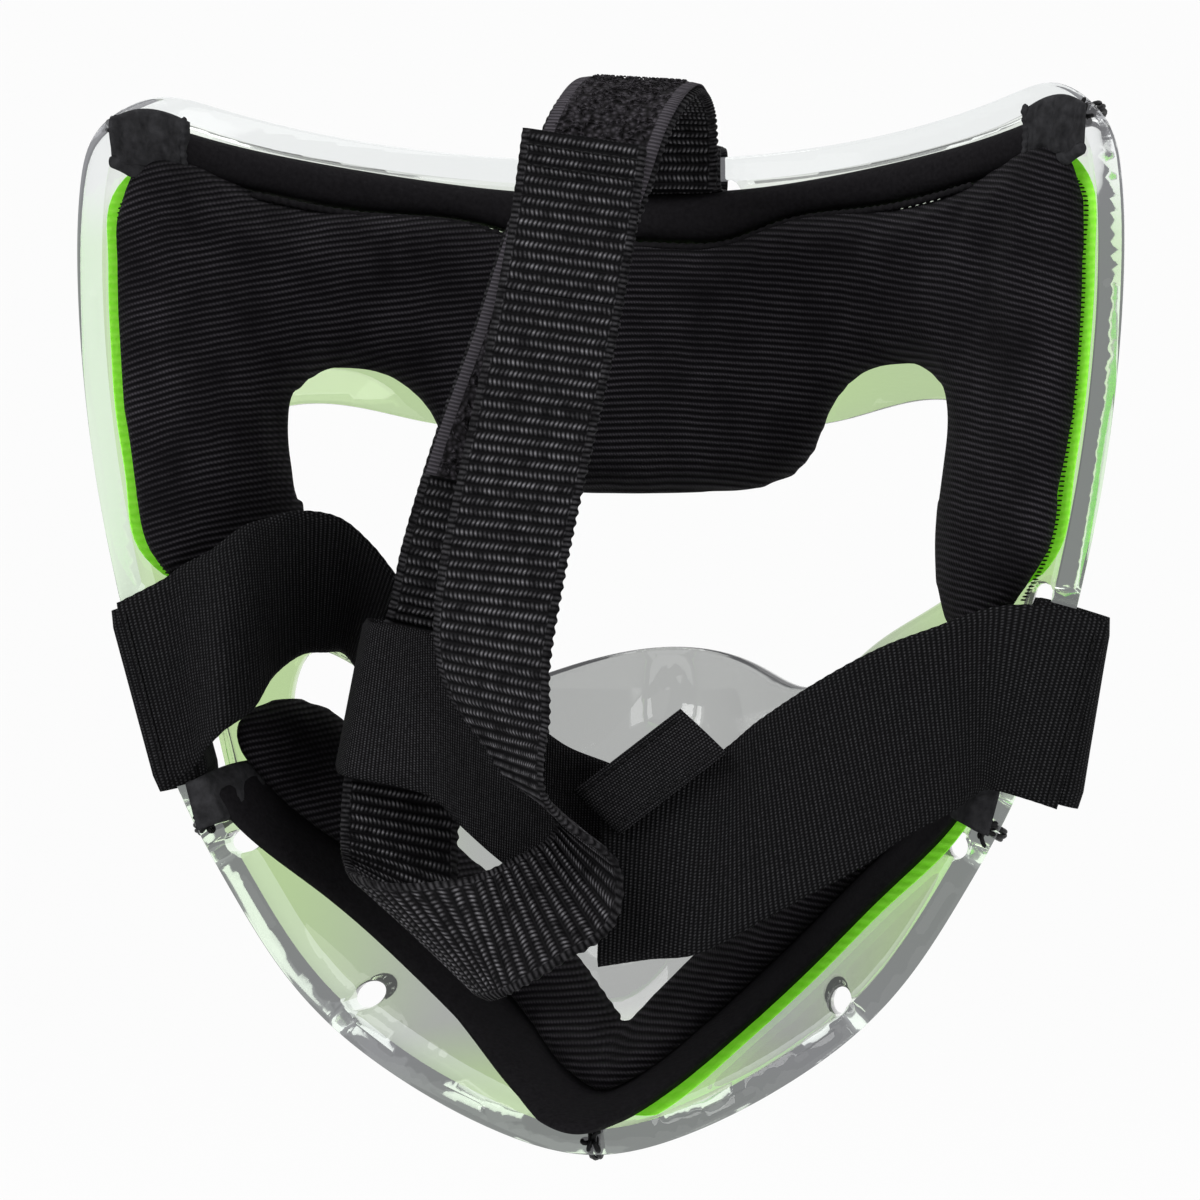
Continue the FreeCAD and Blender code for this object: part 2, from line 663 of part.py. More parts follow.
def side_loop(side, low_reach, high_reach):
    """Sewn end of the elastic round the rim at one side."""
    middle, along = side_slot_line(side)
    out = Vector(along.z * side, 0, -along.x * side)
    low = [(o * low_reach, d * loop_depth) for o, d in zip(loop_out_shares, loop_depth_shares)]
    high = [(o * high_reach, d * loop_depth) for o, d in zip(loop_out_shares, loop_depth_shares)]
    return strap_loop(middle, along, out, low, high, elastic_width, elastic_thickness)


def forehead_loop():
    """Sewn end of the top strap round the top edge of the shell."""
    points = []
    for i in range(anchor_points):
        angle = 2 * math.pi * i / anchor_points
        corner = 1 if i % 2 == 0 else corner_share
        depth = strap_top_depth + strap_top_depth_reach * corner * math.cos(angle)
        points.append((strap_top_reach * corner * math.sin(angle), depth))
    middle = Vector(strap_offset, 0, strap_top_height)
    return strap_loop(middle, Vector(1, 0, 0), Vector(0, 0, 1), points, points,
                      webbing_width, webbing_thickness)


def make_straps():
    """Webbing over the head with its two tapes, and the elastic round the head in its pieces."""
    tape_shift = (webbing_thickness + tape_thickness) / 2 + tape_gap
    strap = way(top_strap_stations, 120, 0.0, hook_hinge_share)
    end = way(top_strap_stations, 16, hook_hinge_share + hinge_gap_share, 1.0)
    pile = way(top_strap_stations, 56, pile_start_share, pile_end_share)
    tape_width = webbing_width * tape_width_share
    export(forehead_loop(), "strap_anchor_loop")
    export(ribbon(strap, webbing_width, webbing_thickness), "top_strap_webbing")
    export(ribbon(pile, tape_width, tape_thickness, tape_shift), "loop_tape")
    export(ribbon(end, webbing_width, webbing_thickness), "top_strap_end")
    export(ribbon(end, tape_width, tape_thickness, tape_shift), "hook_tape")
    export(side_loop(-1, left_loop_reach, left_loop_reach), "headband_end_left")
    export(side_loop(1, right_loop_low_reach, right_loop_top_reach), "headband_end_right")
    export(ribbon(way(left_band_stations, 48), elastic_width, elastic_thickness), "headband_left")
    keeper_width, hem_width = elastic_width * keeper_width_share, elastic_width * hem_width_share
    export(ribbon(way(keeper_stations, 48), keeper_width, elastic_thickness), "headband_keeper")
    export(ribbon(way(right_band_stations, 36), elastic_width, elastic_thickness), "headband_right")
    export(ribbon(way(hem_stations, 6), hem_width, elastic_thickness * 2), "headband_end_fold")


export(make_shell(), "shell")
for tie_name, (tie_middle, tie_along) in tie_places().items():
    export(tie_ring(tie_middle, tie_along, tie_thickness), tie_name)
export(make_forehead_pad(), "forehead_pad")
export(make_forehead_backing(), "forehead_pad_backing")
export(make_forehead_binding(), "forehead_binding")
for node, piece in zip(("chin_pad", "chin_binding", "chin_pad_backing"), make_chin_pads()):
    export(piece, node)
for tab_side, side_name in ((1, "right"), (-1, "left")):
    export(make_tab(corner_tab_width_shares, corner_tab_height_shares, tab_side), "corner_tab_" + side_name)
    export(make_tab(chin_tab_width_shares, chin_tab_height_shares, tab_side), "chin_tab_" + side_name)
make_straps()
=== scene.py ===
import math

import bpy
import numpy as np
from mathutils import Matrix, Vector
from mathutils.geometry import delaunay_2d_cdt


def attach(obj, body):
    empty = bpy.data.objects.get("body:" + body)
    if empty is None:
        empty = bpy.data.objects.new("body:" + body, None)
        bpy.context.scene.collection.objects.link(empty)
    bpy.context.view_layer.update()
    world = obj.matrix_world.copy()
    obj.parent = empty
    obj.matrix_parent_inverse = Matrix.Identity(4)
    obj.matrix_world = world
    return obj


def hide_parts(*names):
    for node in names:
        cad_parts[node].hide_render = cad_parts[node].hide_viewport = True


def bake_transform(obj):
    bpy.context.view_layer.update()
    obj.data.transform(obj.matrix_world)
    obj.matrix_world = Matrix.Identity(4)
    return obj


# Lengths are millimetres until a mesh is made. X is the wearer's right, Y the front, Z up.
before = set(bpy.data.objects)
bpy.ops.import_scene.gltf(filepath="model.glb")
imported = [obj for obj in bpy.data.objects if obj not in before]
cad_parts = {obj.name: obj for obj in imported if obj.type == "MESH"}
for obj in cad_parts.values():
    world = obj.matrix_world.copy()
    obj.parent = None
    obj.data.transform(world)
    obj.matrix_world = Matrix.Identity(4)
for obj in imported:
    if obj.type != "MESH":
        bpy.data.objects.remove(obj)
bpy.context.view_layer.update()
MM = 0.001

# The shell. Shares are of the half width, and of the reach above or below the origin.
HALF_WIDTH, TOP, BOTTOM, DEPTH = 106.5, 103.0, 111.0, 80.0
WALL, RIM_WIDTH, RIM_STEP = 3.0, 5.5, 2.4
GAP = 0.3
EDGE_RADIUS = 0.7
RIM_SLOPE = 0.35
SHELL_SPACING, LINE_SPACING, SLOT_SPACING = 1.6, 1.5, 1.2
OUTLINE = np.array([
    (0.0, -1.0), (0.19, -0.957), (0.378, -0.862), (0.50, -0.775), (0.597, -0.675), (0.69, -0.54),
    (0.80, -0.345), (0.867, -0.17), (0.925, 0.05), (0.958, 0.22), (0.982, 0.40), (0.998, 0.66),
    (0.992, 0.82), (0.974, 0.90), (0.94, 0.95), (0.855, 1.0), (0.77, 0.985), (0.60, 0.942),
    (0.36, 0.908), (0.0, 0.893)])
CROWN_POINT = 15
LEVELS = np.array([-1.1, -1.0, -0.90, -0.77, -0.56, -0.34, -0.135, 0.10, 0.36, 0.63, 1.0, 1.1])
DEPTHS = np.array([-0.34, 0.0, 0.34, 0.66, 0.91, 1.0, 0.99, 0.91, 0.81, 0.76, 0.70, 0.68])
CURVING = np.array([3.8, 3.65, 3.3, 2.52, 1.97, 1.55, 1.28, 1.05, 0.855, 0.75, 0.68, 0.66])
NOSE_RISE, NOSE_HALF_WIDTH, NOSE_HEIGHT, NOSE_HALF_HEIGHT, NOSE_POWER = 30.0, 40.0, -16.0, 44.0, 2.4
EYE = np.array([
    (0.0, 0.35), (0.20, 0.352), (0.40, 0.36), (0.64, 0.395), (0.745, 0.34), (0.77, 0.19), (0.70, 0.06),
    (0.615, -0.005), (0.465, -0.088), (0.338, -0.165), (0.20, -0.13), (0.0, -0.092)])
CHEEK = np.array([
    (0.62, -0.098), (0.52, -0.145), (0.43, -0.20), (0.41, -0.33), (0.50, -0.37), (0.61, -0.30),
    (0.645, -0.16)])
VENTS = np.array([(0.115, -0.74), (0.455, -0.725), (0.685, -0.44)])
VENT_RADIUS = 2.5
FOREHEAD_SLOT = (0.0, 85.5, 20.0)
SIDE_SLOT_HEIGHT, SIDE_SLOT_LEAN, SIDE_SLOT_HALF, SLOT_HEIGHT = -18.0, 15.5, 20.0, 4.2
RECESS_SHARES, RECESS_HALF, RECESS_WIDTH, RECESS_DEPTH = (0.55, -0.56, -0.80, -0.90), 5.0, 2.2, 1.5
TIE_REACH, TIE_HOLE_RADIUS, THREAD_RADIUS, CHEEK_TIE_HEIGHT = 4.6, 1.1, 0.5, -45.0
TIE_ENDS = {"chin_tie": (1.2, 0.8), "corner_tie_right": (2.6, 1.6), "corner_tie_left": (2.0, 1.6),
            "cheek_tie_right": (2.0, 3.5), "cheek_tie_left": (2.0, 1.5)}

# The pads: their sizes are thickness at the edge and the crown, the roll between, mesh spacing, voxel and the
# greatest swelling. A gather is a place, its reach, the number of folds round it and their depth.
CLOTH, KNIT_GAP, REVEAL, SEWN = 0.8, 0.2, 2.3, 0.3
BACK = WALL + GAP
LINE_STEP, LINING_SPACING = 2.2, 3.0
FOREHEAD_SIZES = (3.0, 11.0, 11.0, 2.2, 2.4, 1.6)
CHIN_SIZES, CHIN_FOLD = (3.6, 9.0, 6.0, 2.0, 2.0, 1.0), 0.3
GATHERS = [(93.0, 91.0, 40.0, 15, 2.6), (-93.0, 91.0, 34.0, 13, 1.8), (35.0, 45.0, 16.0, 5, 0.8)]
PAD_TOP = np.array([(0.0, 0.735), (0.19, 0.735), (0.30, 0.77), (0.50, 0.79), (0.70, 0.825), (0.885, 0.866)])
PAD_ARM = (0.79, 0.70, 0.60, 0.50, 0.36, 0.22, 0.10)
PAD_FOOT = np.array([(0.80, 0.0), (0.755, -0.06), (0.70, -0.088), (0.66, -0.06)])
PAD_ARCH = np.array([
    (0.63, 0.02), (0.635, 0.22), (0.645, 0.36), (0.62, 0.425), (0.535, 0.462), (0.45, 0.435),
    (0.405, 0.385), (0.375, 0.32), (0.325, 0.258), (0.235, 0.226), (0.12, 0.218), (0.0, 0.215)])
BINDING_TOP = np.array([
    (0.0, 0.832), (0.20, 0.834), (0.30, 0.842), (0.42, 0.857), (0.60, 0.885), (0.80, 0.930), (0.875, 0.955)])
CHIN_INNER = np.array([(0.0, -0.785), (0.17, -0.625), (0.35, -0.47), (0.50, -0.29), (0.575, -0.195)])
CHIN_END = np.array([(0.635, -0.175), (0.70, -0.20), (0.742, -0.29)])
CHIN_OUTER = np.array([
    (0.685, -0.39), (0.53, -0.535), (0.38, -0.675), (0.23, -0.81), (0.10, -0.915), (0.0, -0.955)])
CHIN_TAPE_END, CHIN_TAPE_AFTER = (0.725, -0.335), (0.755, -0.29)
CHIN_TAPE_WIDENING = 2.4
BINDING_WIDTH, BINDING_RISE, BINDING_GAP, BINDING_DROP, BINDING_LAP = 7.5, 5.6, 0.2, 0.3, 1.5
# A seam or roll has an inset from the shell's face, a radius and a pitch. A tab's section has the power of
# its bulge, its columns and how far its ends thin out, and its folds have a share of its rise and a pitch.
PAD_SEAM, SEAM_DROP = (BACK + 6.4, 0.75, 2.0), 1.6
CROWN_ROLL, CROWN_SEAM = (BACK + 5.8, 1.3, 6.0), (BACK + 6.4, 0.9, 1.6)
TAB_SECTION, CROWN_TAB_FOLDS, CHEEK_TAB_FOLDS = (3.0, 25, 1.5), (0.22, 4.6), (0.2, 5.2)
CROWN_TAB_LIFT, CROWN_TAB_RISE, CHEEK_TAB_RISE, CHEEK_TAB_FLOOR = 4.4, 2.8, 3.0, -5.0
CROWN_TAB_HIGH = np.array([(85.5, 97.8), (89.5, 99.6), (94.5, 99.9), (99.0, 97.6)])
CROWN_TAB_LOW = np.array([(85.5, 87.6), (90.0, 87.6), (95.0, 87.2), (98.6, 89.6)])
CHEEK_TAB_HIGH = np.array([(69.0, -32.5), (75.0, -33.0), (82.5, -37.0)])
CHEEK_TAB_LOW = np.array([(69.5, -43.0), (74.5, -44.5), (80.0, -46.5)])

# The straps. A station is a place, in shares of the half width, the depth and the height, and the direction
# across the strap there, whose length scales its width.
WEBBING, WEBBING_THICK, RIB, RIB_RISE, RIB_ROWS = 25.0, 1.6, 2.12, 0.4, 8
ELASTIC, ELASTIC_THICK = 38.0, 1.5
TAPE_THICK, TAPE_SHARE, TAPE_GAP = 1.0, 0.94, 0.05
TAPE_SHIFT = (WEBBING_THICK + TAPE_THICK) / 2 + TAPE_GAP
KEEPER_SHARE, HEM_SHARE = 0.92, 0.688
TIP_LENGTH, HINGE_GAP = 32.02244, 0.00008
PILE_START, PILE_END, PILE_LOOPS, PILE_REACH = 0.055, 0.335, 1500, 9.2
# Stitches: length and thread radius.
OVERCAST, PILE_LOOP = (1.3, 0.3), (1.5, 0.17)
TIP_SEAM, HEM_SEAM, LOOP_SEAM = (1.7, 0.24), (1.6, 0.22), (1.6, 0.24)
TOP_STRAP = np.array([
    (0.052, 0.584, 0.832, 1.00, 0.00, -0.02), (0.055, 0.572, 0.880, 1.00, 0.00, -0.02),
    (0.060, 0.530, 0.930, 1.00, 0.00, -0.03), (0.066, 0.440, 0.975, 1.00, 0.00, -0.04),
    (0.075, 0.250, 1.000, 1.00, 0.00, -0.05), (0.083, 0.050, 0.996, 1.00, 0.00, -0.08),
    (0.075, -0.113, 0.961, 1.00, 0.00, -0.10), (0.056, -0.212, 0.898, 0.99, 0.00, -0.13),
    (0.028, -0.263, 0.796, 0.99, 0.00, -0.15), (-0.021, -0.281, 0.650, 0.99, 0.00, -0.16),
    (-0.078, -0.250, 0.485, 0.98, 0.00, -0.20), (-0.157, -0.188, 0.291, 0.98, 0.02, -0.21),
    (-0.228, -0.125, 0.083, 0.98, 0.05, -0.21), (-0.263, -0.062, -0.039, 0.98, 0.10, -0.20),
    (-0.322, 0.000, -0.194, 0.95, 0.25, -0.18), (-0.362, 0.013, -0.350, 0.90, 0.36, -0.16),
    (-0.366, -0.025, -0.502, 0.88, 0.38, -0.26), (-0.341, -0.094, -0.593, 0.98, 0.12, -0.63),
    (-0.308, -0.200, -0.638, 1.04, -0.08, -0.90), (-0.254, -0.297, -0.650, 0.87, -0.18, -0.90),
    (-0.197, -0.345, -0.646, 0.64, -0.24, -0.88), (-0.135, -0.375, -0.632, 0.40, -0.32, -0.88),
    (-0.059, -0.366, -0.591, 0.47, -0.42, -0.79), (0.021, -0.334, -0.536, 0.60, -0.44, -0.66),
    (0.032, -0.312, -0.462, 0.64, -0.68, -0.36), (-0.026, -0.335, -0.400, 0.36, -0.92, -0.16),
    (-0.077, -0.337, -0.353, 0.46, -0.88, -0.12), (-0.106, -0.325, -0.287, 0.64, -0.75, -0.14),
    (-0.133, -0.316, -0.205, 0.89, -0.42, -0.20), (-0.144, -0.326, -0.100, 0.97, -0.22, -0.18),
    (-0.125, -0.338, 0.043, 0.99, 0.00, -0.12), (-0.094, -0.352, 0.189, 0.99, 0.00, -0.12),
    (-0.060, -0.358, 0.340, 0.99, 0.00, -0.14), (-0.028, -0.352, 0.492, 0.99, 0.00, -0.16),
    (-0.008, -0.347, 0.602, 0.99, 0.00, -0.16), (0.011, -0.330, 0.728, 0.99, 0.00, -0.16),
    (0.027, -0.305, 0.879, 0.99, 0.00, -0.16)])
LEFT_BAND = np.array([
    (-0.861, -0.062, -0.183, -0.26, 0.00, 0.96), (-0.817, -0.066, -0.161, -0.24, 0.00, 0.97),
    (-0.777, -0.074, -0.135, -0.20, 0.06, 0.97), (-0.752, -0.095, -0.112, -0.16, 0.12, 0.97),
    (-0.695, -0.150, -0.078, -0.11, 0.16, 0.95), (-0.651, -0.081, -0.036, -0.01, -0.24, 0.96),
    (-0.621, 0.013, 0.004, 0.10, -0.53, 0.84), (-0.579, 0.098, 0.032, 0.14, -0.62, 0.77),
    (-0.530, 0.181, 0.028, 0.23, -0.66, 0.72), (-0.493, 0.259, 0.000, 0.31, -0.72, 0.59),
    (-0.458, 0.300, -0.055, 0.35, -0.70, 0.55), (-0.406, 0.290, -0.136, 0.36, -0.61, 0.65),
    (-0.336, 0.215, -0.214, 0.33, -0.33, 0.84), (-0.249, 0.150, -0.248, 0.24, -0.13, 0.92)])
KEEPER = np.array([
    (-0.211, 0.112, -0.245, 0.24, -0.09, 0.91), (-0.308, 0.098, -0.223, 0.22, -0.06, 0.89),
    (-0.400, 0.062, -0.199, 0.21, -0.02, 0.89), (-0.454, -0.005, -0.185, 0.17, 0.06, 0.88),
    (-0.424, -0.128, -0.193, 0.13, 0.09, 0.88), (-0.354, -0.155, -0.203, 0.05, 0.10, 0.90),
    (-0.281, -0.169, -0.224, -0.02, 0.08, 0.93), (-0.219, -0.174, -0.274, 0.01, 0.07, 0.96),
    (-0.145, -0.169, -0.344, 0.02, 0.08, 0.93), (-0.041, -0.150, -0.428, 0.02, 0.05, 0.90),
    (0.043, -0.138, -0.466, 0.04, 0.05, 0.90)])
RIGHT_BAND = np.array([
    (0.925, -0.052, -0.222, 0.27, 0.00, 0.96), (0.870, -0.063, -0.203, 0.27, 0.00, 0.96),
    (0.800, -0.075, -0.186, 0.20, 0.03, 0.96), (0.750, -0.100, -0.189, 0.06, 0.05, 0.95),
    (0.677, -0.163, -0.226, -0.09, 0.00, 0.95), (0.592, -0.209, -0.266, -0.15, 0.01, 0.96),
    (0.494, -0.237, -0.328, -0.20, 0.03, 0.97), (0.365, -0.250, -0.407, -0.11, 0.03, 0.98),
    (0.246, -0.250, -0.483, 0.07, 0.03, 1.02), (0.151, -0.240, -0.502, 0.07, 0.00, 0.99),
    (0.046, -0.225, -0.524, 0.03, -0.03, 0.96)])
HEM = np.array([
    (0.187, -0.273, -0.368, 0.82, -0.065, 0.62), (0.145, -0.277, -0.326, 0.82, -0.065, 0.62),
    (0.102, -0.281, -0.285, 0.82, -0.065, 0.62)])
LOOP_OUT = np.array([0.0, -0.03, 0.0, 0.17, 0.49, 0.81, 1.0, 0.90, 0.48])
LOOP_DEPTH = np.array([-0.2, 0.27, 0.76, 0.96, 0.80, 0.43, 0.07, -0.17, -0.21]) * 15.0
LEFT_REACH, RIGHT_LOW_REACH, RIGHT_TOP_REACH = 9.4, 18.0, 14.0
ANCHOR_HEIGHT, ANCHOR_DEPTH, ANCHOR_REACH, ANCHOR_DEPTH_REACH, ANCHOR_CORNER = 90.0, 54.2, 4.4, 5.2, 1.22
STRAP_OFFSET = 6.0
SIDES = ((1, "right"), (-1, "left"))


# Lines and surfaces
def unit(vectors):
    """Vectors at length one."""
    return vectors / np.linalg.norm(vectors, axis=-1, keepdims=True)


def ways_along(points):
    """How far along a line each of its points lies."""
    return np.concatenate([[0], np.cumsum(np.linalg.norm(np.diff(points, axis=0), axis=1))])


def ramp(value, start, end):
    """Nothing at a start and one at an end, straight between and level beyond."""
    return np.clip((value - start) / (end - start), 0, 1)


def left_of(points, before, after):
    """Unit vectors to the left of a front view line's way at each point, from the points on both sides."""
    run = unit(np.vstack([points[1:], after]) - np.vstack([before, points[:-1]]))
    return np.stack([-run[:, 1], run[:, 0]], axis=1)


def tube_faces(rows, columns, closed=False):
    """Faces of a grid of points that closes round its columns. Its rows close too, or its ends are capped."""
    index = np.arange(rows * columns).reshape(rows, columns)
    there = np.roll(index, -1, axis=0)
    quads = np.stack([index, np.roll(index, -1, axis=1), np.roll(there, -1, axis=1), there], axis=2)
    if closed:
        return quads.reshape(-1, 4).tolist()
    return quads[:-1].reshape(-1, 4).tolist() + [index[0].tolist()[::-1], index[-1].tolist()]


def grid_map(across, along):
    """Map of a grid of points, from its places across and along."""
    return np.stack(np.broadcast_arrays(across, along[:, None]), axis=2).reshape(-1, 2)


def smooth_value(places, values, at):
    """Cubic run through values at rising places: each span starts and ends with the slope between its
    neighbours on both sides."""
    places, values, at = np.asarray(places, float), np.asarray(values, float), np.asarray(at, float)
    last = len(places) - 1
    lower, upper = np.maximum(np.arange(last + 1) - 1, 0), np.minimum(np.arange(last + 1) + 1, last)
    slopes = (values[upper] - values[lower]) / (places[upper] - places[lower])
    index = np.clip(np.searchsorted(places, at, side="right") - 1, 0, last - 1)
    span = places[index + 1] - places[index]
    part = (at - places[index]) / span
    rise = values[index + 1] - values[index]
    curve = values[index] + part * part * (3 - 2 * part) * rise
    start = part * (1 - part) ** 2 * span * slopes[index]
    end = part * part * (1 - part) * span * slopes[index + 1]
    return curve + start - end


def heights(shares):
    """Heights over the origin, each share taken of the reach upwards or downwards."""
    shares = np.asarray(shares, float)
    return np.where(shares > 0, shares * TOP, shares * BOTTOM)


def placed(shares):
    """Front view points from width and height shares."""
    shares = np.asarray(shares, float)
    return np.stack([shares[:, 0] * HALF_WIDTH, heights(shares[:, 1])], axis=1)


def flipped(points):
    """The same points on the other side, in turned order."""
    return points[::-1] * (-1, 1)


def bump(share):
    """Bulge that is one at zero and falls to nothing at one."""
    return (1 - np.minimum(np.abs(share), 1) ** NOSE_POWER) ** 2


def front(x, z, nose=True):
    """Depth of the shell's front face: the mid line's depth, less a parabola across, plus the nose bulge."""
    mid = smooth_value(heights(LEVELS), DEPTHS * DEPTH, z)
    curving = smooth_value(heights(LEVELS), CURVING, z) * DEPTH
    depth = mid - curving * (x / HALF_WIDTH) ** 2
    if nose:
        depth = depth + NOSE_RISE * bump(x / NOSE_HALF_WIDTH) * bump((z - NOSE_HEIGHT) / NOSE_HALF_HEIGHT)
    return depth


def slant(x, z, nose=True):
    """How much longer the way through a wall is along Y than square to it."""
    step = 0.3
    across = (front(x + step, z, nose) - front(x - step, z, nose)) / (2 * step)
    along = (front(x, z + step, nose) - front(x, z - step, nose)) / (2 * step)
    return np.sqrt(1 + across ** 2 + along ** 2)


def inset_points(points, inset, nose=True, floor=None):
    """Front view points laid on the face that lies an inset behind the front face. Above a floor the depth
    runs out softly, by half the sum of the height over it and the root of its square plus a constant."""
    x, z = points[:, 0], points[:, 1]
    y = front(x, z, nose) - inset * slant(x, z, nose)
    if floor is not None:
        y = floor + 0.5 * (y - floor + np.sqrt((y - floor) ** 2 + 1.5))
    return np.stack([x, y, z], axis=1)


def spline(points, samples, closed=False):
    """Cubic spline through points with an even bend at each, by chord length, sampled evenly."""
    points = np.asarray(points, float)
    if closed:
        points = np.vstack([points, points[:1]])
    ways = ways_along(points)
    count, span = len(points), np.diff(ways)
    system, right = np.zeros((count, count)), np.zeros((count, points.shape[1]))
    slope = np.diff(points, axis=0) / span[:, None]
    for i in range(1, count - 1):
        system[i, i - 1:i + 2] = span[i - 1], 2 * (span[i - 1] + span[i]), span[i]
        right[i] = 6 * (slope[i] - slope[i - 1])
    if closed:
        system[0, 0], system[0, 1], system[0, -2] = 2 * (span[0] + span[-1]), span[0], span[-1]
        right[0] = 6 * (slope[0] - slope[-1])
        system[-1, 0], system[-1, -1] = 1, -1
    else:
        system[0, 0] = system[-1, -1] = 1
    bend = np.linalg.solve(system, right)
    at = np.linspace(0, ways[-1], samples, endpoint=not closed)
    i = np.clip(np.searchsorted(ways, at, side="right") - 1, 0, count - 2)
    a, b, h = (ways[i + 1] - at)[:, None], (at - ways[i])[:, None], span[i][:, None]
    return (bend[i] * a ** 3 + bend[i + 1] * b ** 3) / (6 * h) + \
        (points[i] / h - bend[i] * h / 6) * a + (points[i + 1] / h - bend[i + 1] * h / 6) * b


def even(points, spacing, closed=True):
    """The same line with points at even spacing."""
    run = np.vstack([points, points[:1]]) if closed else points
    ways = ways_along(run)
    count = max(8, int(round(ways[-1] / spacing)))
    at = np.linspace(0, ways[-1], count, endpoint=not closed)
    return np.stack([np.interp(at, ways, run[:, k]) for k in range(run.shape[1])], axis=1)


def side_of(points):
    """Unit vectors to the right of a closed front view line's way, its outside when it runs anticlockwise."""
    along = unit(np.roll(points, -1, axis=0) - np.roll(points, 1, axis=0))
    return np.stack([along[:, 1], -along[:, 0]], axis=1)


def rim_points(inset):
    """Outline of the right half, moved inwards."""
    points = placed(OUTLINE)
    return points + left_of(points, points[1] * (-1, 1), points[-2] * (-1, 1)) * inset


def rim_line(inset, spacing):
    """Closed outline of the shell, moved inwards, running anticlockwise."""
    half = rim_points(inset)
    return even(spline(np.vstack([half, flipped(half)[1:-1]]), 900, closed=True), spacing)


def rim_width_at(z, inset):
    """Half width of the moved outline at a height."""
    side = rim_points(inset)[:CROWN_POINT]
    return smooth_value(side[:, 1], side[:, 0], z)


def inside(points, line):
    """Whether front view points lie within a closed line, by counting the crossings to their right."""
    here, there = line, np.roll(line, -1, axis=0)
    x, z = points[:, 0:1], points[:, 1:2]
    rising = (here[:, 1] > z) != (there[:, 1] > z)
    fall = np.where(there[:, 1] == here[:, 1], 1e-9, there[:, 1] - here[:, 1])
    cross = here[:, 0] + (there[:, 0] - here[:, 0]) * (z - here[:, 1]) / fall
    return (rising & (x < cross)).sum(axis=1) % 2 == 1


def nearest(points, line):
    """Distance of front view points from the nearest point of a line."""
    found = np.full(len(points), np.inf)
    for part in np.array_split(line, max(1, len(line) // 64)):
        gaps = np.linalg.norm(points[:, None, :] - part[None, :, :], axis=2)
        found = np.minimum(found, gaps.min(axis=1))
    return found


def stadium(middle, along, half_length, radius, spacing):
    """Closed slot line with round ends, running anticlockwise."""
    middle, along = np.asarray(middle, float), np.asarray(along, float)
    side = np.array([along[1], -along[0]])
    turn = np.linspace(-math.pi / 2, math.pi / 2, 9)
    cap = np.cos(turn)[:, None] * along + np.sin(turn)[:, None] * -side
    far, near = middle + along * half_length + cap * radius, middle - along * half_length - cap * radius
    return even(np.vstack([far, near]), spacing)


def fill(lines, marks, spacing):
    """Triangles over the inside of the first line, less the holes, with marks as lines to follow.
    Inner points lie on a grid of equal triangles and keep half a spacing from every line."""
    outer = lines[0]
    low, high = outer.min(axis=0), outer.max(axis=0)
    rows = np.arange(low[1], high[1], spacing * 0.866)
    cols = np.arange(low[0], high[0], spacing)
    x, z = np.meshgrid(cols, rows)
    x = x + (np.arange(len(rows)) % 2)[:, None] * spacing / 2
    grid = np.stack([x.ravel(), z.ravel()], axis=1)
    keep = inside(grid, outer)
    for line in lines[1:]:
        keep &= ~inside(grid, line)
    grid = grid[keep]
    for line in list(lines) + list(marks):
        grid = grid[nearest(grid, even(line, spacing / 3)) > spacing * 0.55]
    points, edges, start = [], [], 0
    for number, line in enumerate(list(lines) + list(marks)):
        free = np.ones(len(line), bool)
        if number >= len(lines):
            for hole in lines[1:]:
                free &= ~inside(line, hole) & (nearest(line, even(hole, spacing / 6)) > spacing / 4)
        ring = np.cumsum(free) - 1 + start
        joined = free & np.roll(free, -1)
        edges += np.stack([ring, np.roll(ring, -1)], axis=1)[joined].tolist()
        points.append(line[free])
        start += int(free.sum())
    points = np.vstack(points + [grid])
    result = delaunay_2d_cdt([Vector(p) for p in points.tolist()], edges, [], 0, 1e-6)
    points, faces = np.array([tuple(v) for v in result[0]]), np.array(result[2])
    centres = points[faces].mean(axis=1)
    keep = inside(centres, outer)
    for line in lines[1:]:
        keep &= ~inside(centres, line)
    return points, faces[keep]


def make_mesh(name, verts, faces, uv, material):
    """Object at the origin from millimetre points, with a map given per point. A closed mesh that
    encloses a negative volume has its faces turned round."""
    mesh = bpy.data.meshes.new(name)
    verts = np.asarray(verts)
    mesh.from_pydata((verts * MM).tolist(), [], faces)
    mesh.calc_loop_triangles()
    corners = np.empty(3 * len(mesh.loop_triangles), dtype=np.int32)
    mesh.loop_triangles.foreach_get("vertices", corners)
    first, second, third = verts[corners.reshape(-1, 3)].transpose(1, 0, 2)
    if (first * np.cross(second, third)).sum() < 0:
        mesh.flip_normals()
    if uv is not None:
        layer = mesh.uv_layers.new(name="weave")
        corner = np.empty(len(mesh.loops), dtype=np.int32)
        mesh.loops.foreach_get("vertex_index", corner)
        layer.data.foreach_set("uv", np.asarray(uv, float)[corner].ravel())
    mesh.polygons.foreach_set("use_smooth", [True] * len(mesh.polygons))
    mesh.materials.append(material)
    piece = bpy.data.objects.new(name, mesh)
    bpy.context.scene.collection.objects.link(piece)
    return piece


